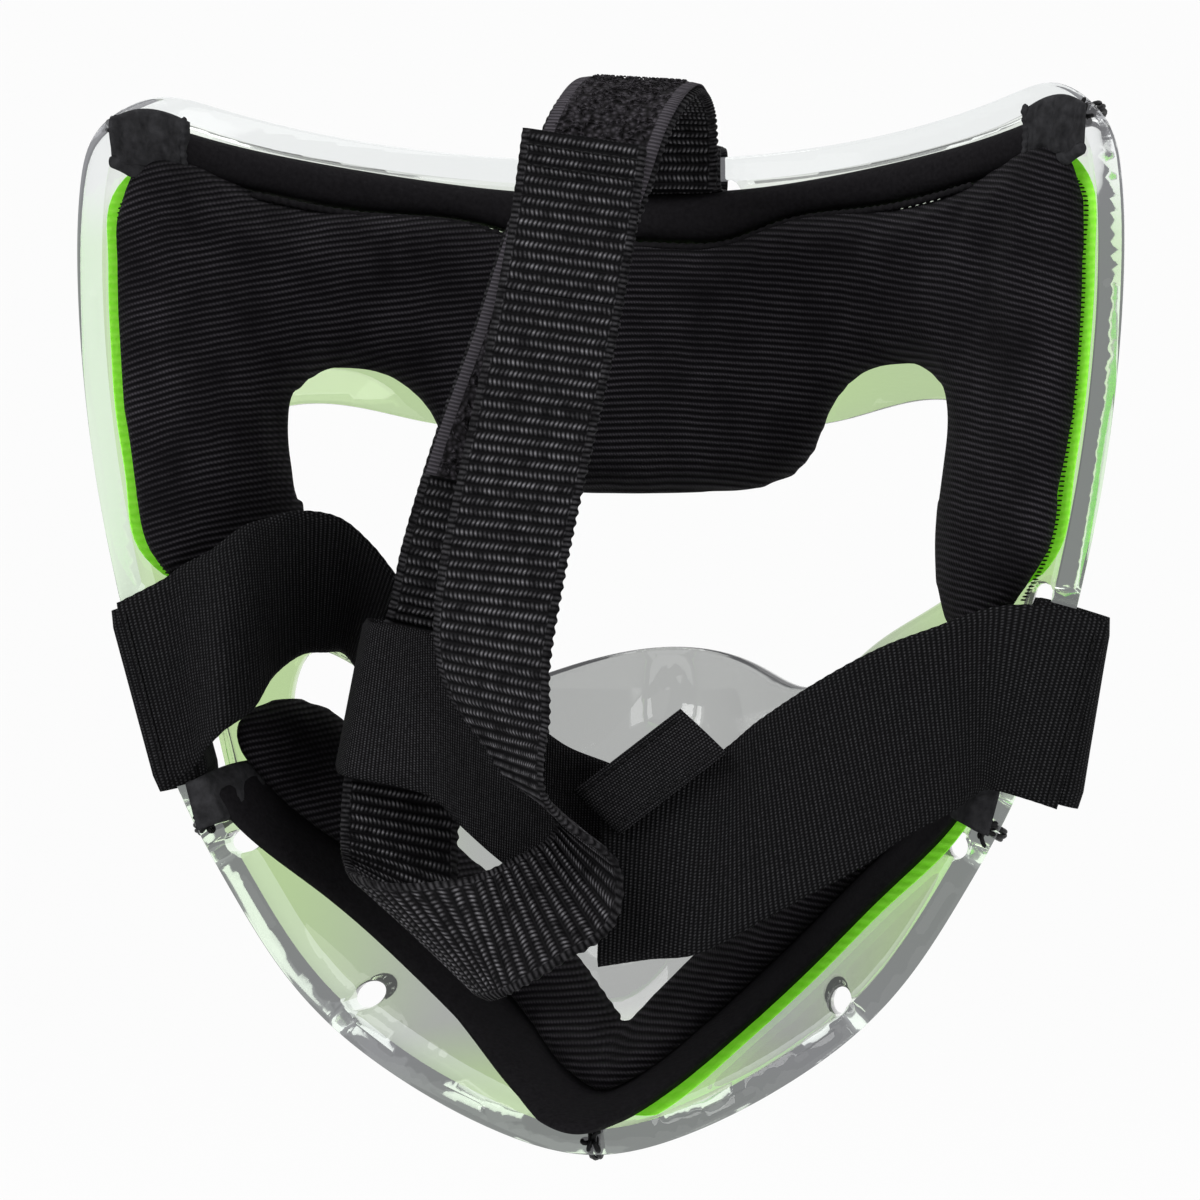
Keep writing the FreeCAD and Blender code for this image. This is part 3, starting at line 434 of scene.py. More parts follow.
def walled_sheet(lines, marks, spacing, outer_inset, inner_inset, radius, nose, floor=None):
    """Closed sheet behind the front face: two filled faces at an outer and an inner inset, and rounded
    walls round every line. Lines are the outline first, then the holes, all running anticlockwise."""
    signs = [1.0] + [-1.0] * (len(lines) - 1)
    shrunk = [line - side_of(line) * sign * radius for line, sign in zip(lines, signs)]
    flat, faces = fill(shrunk, marks, spacing)
    count = len(flat)
    thick = inner_inset(flat)
    verts = [inset_points(flat, outer_inset + 0 * thick, nose, floor), inset_points(flat, thick, nose, floor)]
    turned = [faces[:, ::-1], faces + count]
    start = 2 * count
    for line, sign in zip(shrunk, signs):
        ring = np.array([int(np.argmin(((flat - p) ** 2).sum(axis=1))) for p in line])
        outward = side_of(line) * sign
        rings = [ring]
        for angle, from_front in ((35, True), (65, True), (90, True), (90, False), (65, False), (35, False)):
            turn = math.radians(angle)
            at = line + outward * radius * math.sin(turn)
            depth = radius * (1 - math.cos(turn))
            inset = outer_inset + depth if from_front else inner_inset(at) - depth
            verts.append(inset_points(at, inset + 0 * at[:, 0], nose, floor))
            rings.append(np.arange(len(line)) + start)
            start += len(line)
        rings.append(ring + count)
        for upper, lower in zip(rings, rings[1:]):
            quads = np.stack([upper, np.roll(upper, -1), np.roll(lower, -1), lower], axis=1)
            turned.append(quads if sign > 0 else quads[:, ::-1])
    return np.vstack(verts), [face for block in turned for face in block.tolist()]


# Materials
def new_material(name, **values):
    """Material with one principled shader, its sockets set to plain values."""
    material = bpy.data.materials.new(name)
    material.use_nodes = True
    shader = material.node_tree.nodes["Principled BSDF"]
    for key, value in values.items():
        shader.inputs[key.replace("_", " ")].default_value = value
    return material, material.node_tree, shader


def add_node(tree, kind, links=None, **settings):
    """Node with its settings and its linked or plain inputs."""
    node = tree.nodes.new(kind)
    for key, value in settings.items():
        setattr(node, key, value)
    for key, value in (links or {}).items():
        socket = node.inputs[key]
        if isinstance(value, bpy.types.NodeSocket):
            tree.links.new(value, socket)
        else:
            socket.default_value = value
    return node


def math_node(tree, operation, first, second=0.0, third=0.0):
    """One sum, given as sockets or numbers."""
    node = add_node(tree, "ShaderNodeMath", {0: first, 1: second, 2: third}, operation=operation)
    return node.outputs[0]


def times(tree, first, second):
    """Product of two sockets or numbers."""
    return math_node(tree, "MULTIPLY", first, second)


def ridge(tree, coordinate, pitch):
    """Even ridges along a coordinate: half the cosine plus a half, in the map's millimetres."""
    wave = math_node(tree, "COSINE", times(tree, coordinate, 2 * math.pi / pitch))
    return math_node(tree, "MULTIPLY_ADD", wave, 0.5, 0.5)


def mixed_colour(tree, factor, first, second):
    """Colour between two, each plain or a socket, by a factor."""
    first, second = ((*colour, 1) if isinstance(colour, tuple) else colour for colour in (first, second))
    return add_node(tree, "ShaderNodeMix", {0: factor, 6: first, 7: second}, data_type="RGBA").outputs[2]


def set_colour(tree, shader, factor, first, second):
    """Base colour between two by a factor."""
    tree.links.new(mixed_colour(tree, factor, first, second), shader.inputs["Base Color"])


def map_axes(tree):
    """The piece's own map, as separate across and along sockets."""
    source = add_node(tree, "ShaderNodeUVMap", uv_map="weave")
    parts = add_node(tree, "ShaderNodeSeparateXYZ", {0: source.outputs[0]})
    return parts.outputs[0], parts.outputs[1]


def object_place(tree):
    """The object's own coordinates in metres."""
    return add_node(tree, "ShaderNodeTexCoord").outputs["Object"]


def object_parts(tree):
    """Separate sockets of the object's own coordinates."""
    return add_node(tree, "ShaderNodeSeparateXYZ", {0: object_place(tree)}).outputs


def set_bump(tree, shader, height, distance, strength=1.0):
    """Relief of a height in millimetres."""
    relief = add_node(tree, "ShaderNodeBump",
                      {"Height": height, "Distance": distance * MM, "Strength": strength})
    tree.links.new(relief.outputs[0], shader.inputs["Normal"])


def fine_noise(tree, scale, detail):
    """Noise in the object's own place, scaled per metre."""
    inputs = {"Vector": object_place(tree), "Scale": scale, "Detail": detail, "Roughness": 0.5}
    return add_node(tree, "ShaderNodeTexNoise", inputs).outputs[0]


def remainder(tree, value, divisor):
    """What is left of a value over whole divisors, never negative."""
    return math_node(tree, "FLOORED_MODULO", value, divisor)


def past(tree, value, limit, soft):
    """Nothing below a limit and one above it, with a soft step between."""
    return add_node(tree, "ShaderNodeMapRange", {0: value, 1: limit - soft, 2: limit + soft},
                    interpolation_type="SMOOTHSTEP").outputs[0]


def webbing_material(pitch):
    """Ribbed webbing: each rib is a row of short grey stitches on black, leaning one way and then the other,
    with finer ribs along both edges."""
    material, tree, shader = new_material("webbing", Roughness=0.6, Specular_IOR_Level=0.07)
    across, along = map_axes(tree)
    wave = math_node(tree, "DIVIDE", along, pitch)
    row = math_node(tree, "ROUND", wave)
    place = math_node(tree, "SUBTRACT", wave, row)
    lean = math_node(tree, "MULTIPLY_ADD", remainder(tree, row, 2.0), 1.1, -0.55)
    slanted = math_node(tree, "ADD", across, times(tree, place, lean))
    stitch = math_node(tree, "POWER", ridge(tree, slanted, 0.92), 1.3)
    rib = ridge(tree, along, pitch)
    dash = times(tree, math_node(tree, "POWER", rib, 1.6), stitch)
    edge = past(tree, math_node(tree, "ABSOLUTE", across), 10.9, 0.2)
    fine = times(tree, ridge(tree, along, pitch / 2), 0.22)
    woven = math_node(tree, "ADD", times(tree, dash, math_node(tree, "SUBTRACT", 1.0, edge)),
                      times(tree, fine, edge))
    patch = math_node(tree, "MULTIPLY_ADD", fine_noise(tree, 420, 3), 2.6, -0.75)
    lit = times(tree, woven, math_node(tree, "MAXIMUM", patch, 0.12))
    set_colour(tree, shader, lit, (0.003, 0.0028, 0.0034), (0.22, 0.215, 0.23))
    set_bump(tree, shader, math_node(tree, "MULTIPLY_ADD", dash, 0.8, rib), 0.3)
    return material


def elastic_material(name, rib_pitch, dash_pitch, light, depth):
    """Woven elastic: close ribs across the band, each a row of fine stitches."""
    material, tree, shader = new_material(name, Roughness=0.8, Specular_IOR_Level=0.05)
    across, along = map_axes(tree)
    rib = ridge(tree, along, rib_pitch)
    row = math_node(tree, "ROUND", math_node(tree, "DIVIDE", along, rib_pitch))
    shift = times(tree, remainder(tree, row, 2.0), dash_pitch / 2)
    fine = ridge(tree, math_node(tree, "ADD", across, shift), dash_pitch)
    dash = times(tree, math_node(tree, "POWER", rib, 1.4), fine)
    lit = times(tree, dash, math_node(tree, "MULTIPLY_ADD", fine_noise(tree, 1500, 2), 1.5, -0.1))
    set_colour(tree, shader, lit, (0.003, 0.003, 0.0034), light)
    set_bump(tree, shader, math_node(tree, "MULTIPLY_ADD", dash, 0.7, rib), depth)
    return material


def knit_material(pitch=1.3):
    """Ribbed knit over foam: twisted ribs across the pad that fall away towards both sides."""
    material, tree, shader = new_material("knit", Roughness=0.85, Specular_IOR_Level=0.05)
    shader.inputs["Sheen Weight"].default_value = 0.02
    parts = object_parts(tree)
    x, z = (times(tree, parts[k], 1 / MM) for k in (0, 2))
    fall = times(tree, times(tree, x, x), 0.0017)
    place = math_node(tree, "ADD", z, fall)
    place = math_node(tree, "ADD", place, times(tree, fine_noise(tree, 60, 2), 1.2))
    rib = ridge(tree, place, pitch)
    twist = ridge(tree, math_node(tree, "MULTIPLY_ADD", place, 0.5, x), 0.62)
    strand = math_node(tree, "MULTIPLY_ADD", twist, 0.6, 0.4)
    lit = times(tree, math_node(tree, "POWER", rib, 2.0), strand)
    patch = math_node(tree, "MULTIPLY_ADD", fine_noise(tree, 90, 3), 1.6, -0.2)
    lit = times(tree, lit, patch)
    set_colour(tree, shader, lit, (0.0025, 0.0022, 0.003), (0.055, 0.051, 0.059))
    set_bump(tree, shader, math_node(tree, "MULTIPLY_ADD", twist, 0.25, rib), 0.3)
    return material


def smooth_cloth_material(name, dark, light, roughness=0.8, scale=1200.0, depth=0.06, gloss=0.05):
    """Close cloth with a fine grain."""
    material, tree, shader = new_material(name, Roughness=roughness, Specular_IOR_Level=gloss)
    grain = fine_noise(tree, scale, 3)
    set_colour(tree, shader, grain, dark, light)
    set_bump(tree, shader, grain, depth)
    return material


def lining_material():
    """Bright green lining: soft ribs with small pores, paler on the ribs. A green glow brightens it,
    painted light that lifts it where it lies in shade, partly standing for the fluorescence of its dye.
    """
    # Painted light: the green emission brightens the cloth in shade, partly standing for its fluorescence.
    material, tree, shader = new_material("green_lining", Roughness=0.7, Specular_IOR_Level=0.1,
                                          Emission_Color=(0.2, 0.8, 0.02, 1), Emission_Strength=0.34)
    rib = ridge(tree, times(tree, object_parts(tree)[2], 1 / MM), 1.8)
    pores = fine_noise(tree, 1100, 2)
    lit = math_node(tree, "MULTIPLY_ADD", rib, 0.5, times(tree, pores, 0.6))
    set_colour(tree, shader, lit, (0.22, 0.80, 0.03), (0.42, 1.0, 0.12))
    set_bump(tree, shader, lit, 0.35)
    return material


def tape_material():
    """Pile of hook and loop tape: a felt of tiny loops, with finely ribbed edges."""
    material, tree, shader = new_material("tape", Roughness=0.9, Specular_IOR_Level=0.1)
    across, along = map_axes(tree)
    cells = add_node(tree, "ShaderNodeTexVoronoi", {"Vector": object_place(tree), "Scale": 950.0})
    loops = math_node(tree, "SUBTRACT", 1.0, cells.outputs["Distance"])
    loops = math_node(tree, "POWER", math_node(tree, "MAXIMUM", loops, 0.0), 2.5)
    edge = past(tree, math_node(tree, "ABSOLUTE", across), 9.4, 0.15)
    rib = ridge(tree, along, 0.8)
    lit = math_node(tree, "ADD", times(tree, loops, math_node(tree, "SUBTRACT", 1.0, edge)),
                    times(tree, math_node(tree, "MULTIPLY_ADD", rib, 0.7, 0.3), edge))
    set_colour(tree, shader, lit, (0.004, 0.0036, 0.004), (0.085, 0.078, 0.09))
    set_bump(tree, shader, lit, 0.4)
    return material


def shell_material(name, tone, lining_reflection, top, roughness, wave, bending, glow):
    """Clear moulded plastic with a faint wave in its surface, greener away from the nose by a painted
    reflection of the green lining beside it, and paler along the top. A faint glow, painted light, stands for
    the light that wanders inside the wall."""
    material, tree, shader = new_material(name, Roughness=roughness, IOR=bending, Transmission_Weight=1.0,
                                          Emission_Color=(0.95, 0.95, 1.0, 1), Emission_Strength=glow)
    x, _, z = object_parts(tree)
    # Painted reflection of the green lining: a mask of the sides, the chin and the upper part, broken up by
    # noise, mixes the lining's green into the colour.
    side = past(tree, math_node(tree, "ABSOLUTE", x), 0.052, 0.022)
    low = past(tree, times(tree, z, -1.0), 0.094, 0.010)
    high = past(tree, z, 0.030, 0.016)
    near = math_node(tree, "MAXIMUM", math_node(tree, "MAXIMUM", side, low), high)
    patch = math_node(tree, "MULTIPLY_ADD", fine_noise(tree, 14, 1), 0.5, 0.6)
    share = times(tree, near, patch)
    set_colour(tree, shader, past(tree, z, 0.078, 0.008), mixed_colour(tree, share, tone, lining_reflection), top)
    set_bump(tree, shader, fine_noise(tree, 22, 1), wave, 0.5)
    return material


# The shell
def half_closed(points, spacing, samples=500):
    """Closed line from a right half run and its mirror image, joined smoothly at the middle."""
    return even(spline(np.vstack([points, flipped(points)[1:-1]]), samples, closed=True), spacing)


def anticlockwise(line):
    """The line in anticlockwise order."""
    x, z = line[:, 0], line[:, 1]
    area = (x * np.roll(z, -1) - np.roll(x, -1) * z).sum()
    return line if area > 0 else line[::-1]


def side_slot(side):
    """Middle and direction of the slot for the elastic."""
    lean = math.radians(SIDE_SLOT_LEAN)
    out = float(rim_width_at(SIDE_SLOT_HEIGHT, RIM_WIDTH + SLOT_HEIGHT / 2))
    return np.array([out * side, SIDE_SLOT_HEIGHT]), np.array([math.sin(lean) * side, math.cos(lean)])


def recess_places():
    """Middle and direction of each pocket in the rim."""
    found = []
    for share in RECESS_SHARES:
        z = float(heights(share))
        low, high = z - RECESS_HALF, z + RECESS_HALF
        out = [float(rim_width_at(height, RIM_WIDTH / 2)) for height in (low, z, high)]
        run = unit(np.array([out[2] - out[0], high - low]))
        for side in (1, -1):
            found.append((np.array([out[1] * side, z]), run * (side, 1)))
    return found


def tie_places():
    """Middle of the rim, its direction and the way inwards at each tie: crowns, cheeks and chin."""
    rim = rim_points(RIM_WIDTH / 2)
    crown = rim[CROWN_POINT - 1]
    run = crown - rim[CROWN_POINT - 2]
    low, high = CHEEK_TIE_HEIGHT - RIM_WIDTH, CHEEK_TIE_HEIGHT + RIM_WIDTH
    middle = RIM_WIDTH / 2
    cheek = np.array([float(rim_width_at(CHEEK_TIE_HEIGHT, middle)), CHEEK_TIE_HEIGHT])
    cheek_run = np.array([float(rim_width_at(high, middle)) - float(rim_width_at(low, middle)), high - low])
    found = {"chin_tie": (rim[0], np.array([1.0, 0.0]))}
    for name, side in (("right", 1), ("left", -1)):
        for label, place, along in (("corner_tie_", crown, run), ("cheek_tie_", cheek, cheek_run)):
            found[label + name] = (place * (side, 1), unit(along) * (side, 1))
    return found


def inward_at(place, along):
    """Unit vector square to the rim, towards the middle of the mask."""
    inward = np.array([-along[1], along[0]])
    return inward if inward @ (np.array([0.0, 10.0]) - place) > 0 else -inward


def round_hole(middle, radius, count):
    """Circle in the front view."""
    turn = np.linspace(0, 2 * math.pi, count, endpoint=False)
    return middle + radius * np.stack([np.cos(turn), np.sin(turn)], axis=1)


def make_shell(clear, rim_finish):
    """The moulded shield: a bowl with a nose bulge, a thick stepped rim, and all its openings. Its wall is
    thicker outside the rim's inner line, over a short slope, and thinner in each pocket."""
    step = RIM_SLOPE
    lines = [rim_line(0, LINE_SPACING), half_closed(placed(EYE), LINE_SPACING)]
    for side in (1, -1):
        lines.append(even(spline(placed(CHEEK) * (side, 1), 200, closed=True), LINE_SPACING))
        middle, along = side_slot(side)
        lines.append(stadium(middle, along, SIDE_SLOT_HALF, SLOT_HEIGHT / 2, SLOT_SPACING))
        lines += [round_hole(place, VENT_RADIUS, 28) for place in placed(VENTS) * (side, 1)]
    lines.append(stadium(FOREHEAD_SLOT[:2], (1, 0), FOREHEAD_SLOT[2], SLOT_HEIGHT / 2, SLOT_SPACING))
    for place, along in tie_places().values():
        lines.append(round_hole(place + inward_at(place, along) * TIE_REACH, TIE_HOLE_RADIUS, 12))
    lines = [anticlockwise(line) for line in lines]
    lip = rim_line(RIM_WIDTH, LINE_SPACING)
    marks = [lip + side_of(lip) * step, lip - side_of(lip) * step]
    fine_lip = even(lip, 0.4)
    recesses = recess_places()
    for middle, along in recesses:
        for radius in (RECESS_WIDTH / 2, RECESS_WIDTH / 2 - step):
            marks.append(stadium(middle, along, RECESS_HALF, radius, 0.9))

    def into_lip(points):
        return nearest(points, fine_lip) * np.where(inside(points, lip), -1, 1)

    def thickness(points):
        thick = WALL + RIM_STEP * np.clip((into_lip(points) + step) / (2 * step), 0, 1)
        for middle, along in recesses:
            way = np.clip((points - middle) @ along, -RECESS_HALF, RECESS_HALF)
            off = np.linalg.norm(points - middle - way[:, None] * along, axis=1)
            thick = thick - RECESS_DEPTH * np.clip((RECESS_WIDTH / 2 - off) / step, 0, 1)
        return thick

    sheet = walled_sheet(lines, marks, SHELL_SPACING, 0.0, thickness, EDGE_RADIUS, True, floor=0.0)
    piece = make_mesh("clear_shell", *sheet, None, clear)
    piece.data.materials.append(rim_finish)
    centres = np.empty(3 * len(piece.data.polygons))
    piece.data.polygons.foreach_get("center", centres)
    places = centres.reshape(-1, 3)[:, ::2] / MM
    piece.data.polygons.foreach_set("material_index", (into_lip(places) > step).astype(np.int32))
    piece.data.set_sharp_from_angle(angle=math.radians(48))
    return piece


# Straps
def way(stations, steps, start=0.0, end=1.0):
    """Middles and directions across, at even steps along a part of a strap's way."""
    middles = stations[:, :3] * (HALF_WIDTH, DEPTH, TOP)
    ways = ways_along(middles)
    at = ways[-1] * np.linspace(start, end, steps + 1)
    middle = np.stack([smooth_value(ways, middles[:, k], at) for k in range(3)], axis=1)
    across = np.stack([smooth_value(ways, stations[:, 3 + k], at) for k in range(3)], axis=1)
    return middle, across, at


def strap_section(width, thickness, columns):
    """Closed outline of a flat strap's section: across share, thickness share and the map's across place."""
    share = np.linspace(-0.5, 0.5, columns)
    past_flat = np.maximum(0, np.abs(share) * width - (width - thickness) / 2) / (thickness / 2)
    rounding = np.maximum(np.sqrt(np.maximum(0, 1 - past_flat ** 2)), 0.25)
    top = np.stack([share, 0.5 * rounding], axis=1)
    return np.vstack([top, (0.5, 0.0), top[::-1] * (1, -1), (-0.5, 0.0)])


def strap(name, run, width, thickness, material, shift=0.0, columns=16, rib=0.0, pitch=2.1, scallop=0.0):
    """Flat strap carried along its way: a rounded section swept over middles and directions across, thicker
    at each rib by a cosine of the way, with its right edge standing out at the ribs too."""
    middle, across, at = run
    section = strap_section(width, thickness, columns)
    wave = np.cos(2 * math.pi * at / pitch)
    rows = middle[:, None, :] + across[:, None, :] * (section[None, :, 0:1] * width)
    if scallop:
        ends = np.clip((np.abs(section[:, 0]) * width - (width / 2 - 1.2)) / 1.2, 0, 1)
        push = np.where(section[:, 0] > 0, 1.0, -0.3) * ends * scallop
        rows = rows + across[:, None, :] * (push[None, :] * wave[:, None])[:, :, None]
    along = np.gradient(rows, axis=0)
    normal = unit(np.cross(along, np.broadcast_to(across[:, None, :], along.shape)))
    lift = section[None, :, 1] * (thickness + rib * wave[:, None]) + shift
    verts = rows + normal * lift[:, :, None]
    faces = tube_faces(len(middle), len(section))
    return make_mesh(name, verts.reshape(-1, 3), faces, grid_map(section[None, :, 0] * width, at), material)


def on_strap(stations, share, across_places, lift):
    """Points across a strap at a share of its way, lifted off its middle towards the wearer, with the
    direction across and the way up there."""
    middle, across, _ = way(stations, 2, share - 0.002, share + 0.002)
    up = unit(np.cross(middle[2] - middle[0], across[1]))
    up = -up if up[1] > 0 else up
    return middle[1] + across[1] * across_places[:, None] + up * lift, unit(across[1]), up


def tube_part(path, radius, up, closed=False, ripple=0.0, pitch=1.0):
    """Round cord: a circle carried along a path, its radius rising and falling by a cosine of the way, and
    closing to a point at both ends of an open path."""
    step = np.roll(path, -1, axis=0) - np.roll(path, 1, axis=0) if closed else np.gradient(path, axis=0)
    step = unit(step)
    side = unit(np.cross(step, np.broadcast_to(up, step.shape)))
    other = np.cross(side, step)
    ways = ways_along(path)
    size = radius * (1 + ripple * np.cos(2 * math.pi * ways / pitch))
    if not closed:
        size = size * np.sqrt(np.clip(np.minimum(ways, ways[-1] - ways) / radius, 0.02, 1))
    turn = np.linspace(0, 2 * math.pi, 8, endpoint=False)
    ring = np.cos(turn)[None, :, None] * side[:, None] + np.sin(turn)[None, :, None] * other[:, None]
    verts = path[:, None] + ring * size[:, None, None]
    return verts.reshape(-1, 3), tube_faces(len(path), len(turn), closed), grid_map(turn[None] * radius, ways)


def joined(parts):
    """Several parts as one mesh's points, faces and map."""
    starts = np.cumsum([0] + [len(part[0]) for part in parts[:-1]])
    faces = [[corner + int(start) for corner in face]
             for part, start in zip(parts, starts) for face in part[1]]
    return np.vstack([part[0] for part in parts]), faces, np.vstack([part[2] for part in parts])


def stitches(name, points, directions, ups, length, radius, material, bow=0.9):
    """Row of stitches: spindles whose radius follows the root of a half sine, bowed outwards at the middle by
    a number of radii."""
    rings, sides = 7, 6
    at = np.linspace(-0.5, 0.5, rings)
    turn = np.linspace(0, 2 * math.pi, sides, endpoint=False)
    directions = np.broadcast_to(directions, points.shape)
    ups = np.broadcast_to(ups, points.shape)
    across = np.cross(directions, ups)
    size = radius * np.sqrt(np.maximum(np.cos(math.pi * at), 0.03))
    rise = radius * bow * np.cos(math.pi * at)
    middle = points[:, None] + directions[:, None] * at[None, :, None] * length + \
        ups[:, None] * rise[None, :, None]
    ring = across[:, None, None] * np.cos(turn)[None, None, :, None] + \
        ups[:, None, None] * np.sin(turn)[None, None, :, None]
    verts = middle[:, :, None] + ring * size[None, :, None, None]
    index = np.arange(verts.size // 3).reshape(verts.shape[:3])
    near, far = index[:, :-1], index[:, 1:]
    quads = np.stack([near, np.roll(near, -1, axis=2), np.roll(far, -1, axis=2), far], axis=3).reshape(-1, 4)
    faces = quads.tolist() + index[:, 0, ::-1].tolist() + index[:, -1].tolist()
    return make_mesh(name, verts.reshape(-1, 3), faces, np.zeros((verts.size // 3, 2)), material)


def loop_points(low, high, middle, along, out, width, thickness, columns, samples):
    """Closed strap loop round a bar: a closed profile swept across, low profile to high profile."""
    profiles = []
    for points in (low, high):
        line = spline(points, samples, closed=True)
        profiles.append((line, -side_of(line)))
    share = np.linspace(0, 1, columns)
    edge = np.minimum(share, 1 - share) * width
    rounding = np.sqrt(np.clip(1 - (np.maximum(0, thickness / 2 - edge) / (thickness / 2)) ** 2, 0.06, 1))
    layers = []
    for sign in (1, -1):
        for column in (range(columns) if sign > 0 else range(columns - 1, -1, -1)):
            mix, half = share[column], sign * thickness / 2 * rounding[column]
            near, far = (line + outward * half for line, outward in profiles)
            flat = near * (1 - mix) + far * mix
            base = middle + along * width * (mix - 0.5)
            layers.append(base + out * flat[:, :1] + np.array([0, 1, 0]) * flat[:, 1:])
    return np.stack(layers, axis=1)


def loop(name, low, high, middle, along, out, width, thickness, material):
    """Strap end sewn round a bar."""
    columns, samples = 12, 72
    verts = loop_points(low, high, middle, along, out, width, thickness, columns, samples)
    share = np.concatenate([np.linspace(-0.5, 0.5, columns), np.linspace(0.5, -0.5, columns)]) * width
    uv = grid_map(share[None], ways_along(verts[:, 0]))
    return make_mesh(name, verts.reshape(-1, 3), tube_faces(*verts.shape[:2], closed=True), uv, material)


def side_loop(name, side, low_reach, high_reach, material):
    """Sewn end of the elastic round the rim."""
    middle, along = side_slot(side)
    middle = np.array([middle[0], 0, middle[1]])
    along = np.array([along[0], 0, along[1]])
    out = np.array([along[2] * side, 0, -along[0] * side])
    low = np.stack([LOOP_OUT * low_reach, LOOP_DEPTH], axis=1)
    high = np.stack([LOOP_OUT * high_reach, LOOP_DEPTH], axis=1)
    return loop(name, low, high, middle, along, out, ELASTIC, ELASTIC_THICK, material)


def anchor_loop(material):
    """Sewn end of the top strap round the top edge of the shell."""
    turn = np.arange(8) * math.pi / 4
    corner = np.where(np.arange(8) % 2 == 0, 1, ANCHOR_CORNER)
    points = np.stack([ANCHOR_REACH * corner * np.sin(turn),
                       ANCHOR_DEPTH + ANCHOR_DEPTH_REACH * corner * np.cos(turn)], axis=1)
    middle = np.array([STRAP_OFFSET, 0, ANCHOR_HEIGHT])
    return loop("strap_anchor", points, points, middle, np.array([1.0, 0, 0]), np.array([0, 0, 1.0]),
                WEBBING, WEBBING_THICK, material)


# Pads
def mirrored(half, spacing):
    """Closed outline from a right half run that may have a corner at the middle."""
    right = spline(half, 500)
    return anticlockwise(even(np.vstack([right, flipped(right)[1:-1]]), spacing))


def forehead_line(reveal, spacing):
    """Closed outline of the forehead pad."""
    arm_z = heights(PAD_ARM)
    arm_x = rim_width_at(arm_z, RIM_WIDTH + GAP + REVEAL - reveal)
    half = np.vstack([placed(PAD_TOP), np.stack([arm_x, arm_z], axis=1), placed(PAD_FOOT), placed(PAD_ARCH)])
    return mirrored(half, spacing)


def chin_line(inset, spacing):
    """Closed outline of the chin pad, with its outer edge moved inwards."""
    outer, end = placed(CHIN_OUTER), placed(CHIN_END)
    moved = outer - left_of(outer, end[-1], outer[-2] * (-1, 1)) * inset
    return mirrored(np.vstack([placed(CHIN_INNER), end[:-1] if inset > 0 else end, moved]), spacing)


def drawn_in(line, distance):
    """A closed line moved towards its inside by a distance given per point."""
    return line - side_of(line) * distance[:, None]


def cushion(name, line, tight, back, edge, thickness, roll, spacing, material, crease=0.0, gathers=()):
    """Pad on the inside of the shell: thickness rises from its edge to its crown by a quarter circle, faster
    along the line it is sewn down to, less a fold down the middle that fades by a bell curve. Gathers are
    folds that run out from a point, a cosine of the angle round it under a bell curve of the distance."""
    fine, sewn = even(line, 0.8), even(tight, 0.8, closed=False)

    def rise(distance, reach):
        share = np.clip(distance / reach, 0, 1)
        return np.sqrt(share * (2 - share))

    def inset(points):
        fold = 1 - crease * np.exp(-(points[:, 0] / 2.2) ** 2)
        free = fine[nearest(fine, sewn) > 3.0]
        full = rise(nearest(points, fine), 4.5) * rise(nearest(points, free), roll)
        thick = edge + (thickness - edge) * full * fold
        for x, z, reach, count, depth in gathers:
            far = np.hypot(points[:, 0] - x, points[:, 1] - z)
            angle = np.arctan2(points[:, 1] - z, points[:, 0] - x)
            strength = np.exp(-(far / reach) ** 2) * np.clip(far / 7, 0, 1)
            wave = 0.5 + 0.5 * np.cos(count * angle + 1.5 * np.sin(far / 9))
            thick = thick - depth * full * strength * wave
        return back + thick

    sheet = walled_sheet([line], [], spacing, back, inset, min(1.2, edge / 2), False)
    return make_mesh(name, *sheet, None, material)


def mesh_points(mesh):
    """A mesh's points in millimetres."""
    points = np.empty(3 * len(mesh.vertices))
    mesh.vertices.foreach_get("co", points)
    return points.reshape(-1, 3) / MM


def swollen(piece, voxel, cap, back, rim_inset):
    """Foam under cloth: the pad is remeshed evenly, blown up by a cloth simulation, each point's way held to
    a cap, and the whole kept off the shell behind it and off the thick rim."""
    scene = bpy.context.scene
    evenly = piece.modifiers.new("evenly", "REMESH")
    evenly.mode, evenly.voxel_size = "VOXEL", voxel * MM
    mesh = bpy.data.meshes.new_from_object(piece.evaluated_get(bpy.context.evaluated_depsgraph_get()))
    piece.modifiers.clear()
    material = piece.data.materials[0]
    piece.data = mesh
    before = mesh_points(mesh)
    cloth = piece.modifiers.new("cloth", "CLOTH")
    cloth.settings.quality = 6
    cloth.settings.use_pressure = True
    cloth.settings.uniform_pressure_force = 4.0
    cloth.settings.effector_weights.gravity = 0.0
    for number in range(1, 21):
        scene.frame_set(number)
    after = bpy.data.meshes.new_from_object(piece.evaluated_get(bpy.context.evaluated_depsgraph_get()))
    moved = mesh_points(after) - before
    size = np.linalg.norm(moved, axis=1)[:, None]
    points = before + moved * np.minimum(1, cap / np.maximum(size, 1e-6))
    piece.modifiers.clear()
    scene.frame_set(1)
    flat = points[:, ::2]
    points[:, 1] = np.minimum(points[:, 1], inset_points(flat, back, False)[:, 1])
    lip = rim_line(rim_inset, 0.8)
    outside = ~inside(flat, lip)
    held = np.array([lip[np.argmin(((lip - place) ** 2).sum(axis=1))] for place in flat[outside]])
    if len(held):
        points[outside, 0], points[outside, 2] = held[:, 0], held[:, 1]
    mesh.vertices.foreach_set("co", (points * MM).ravel())
    mesh.polygons.foreach_set("use_smooth", [True] * len(mesh.polygons))
    mesh.materials.clear()
    mesh.materials.append(material)
    finer = piece.modifiers.new("finer", "SUBSURF")
    finer.levels = finer.render_levels = 1
    return piece


def flat_cloth(name, line, back, thickness, spacing, material):
    """Thin cloth behind a pad."""
    sheet = walled_sheet([line], [], spacing, back, lambda points: back + thickness + 0 * points[:, 0],
                         thickness * 0.45, False)
    return make_mesh(name, *sheet, None, material)


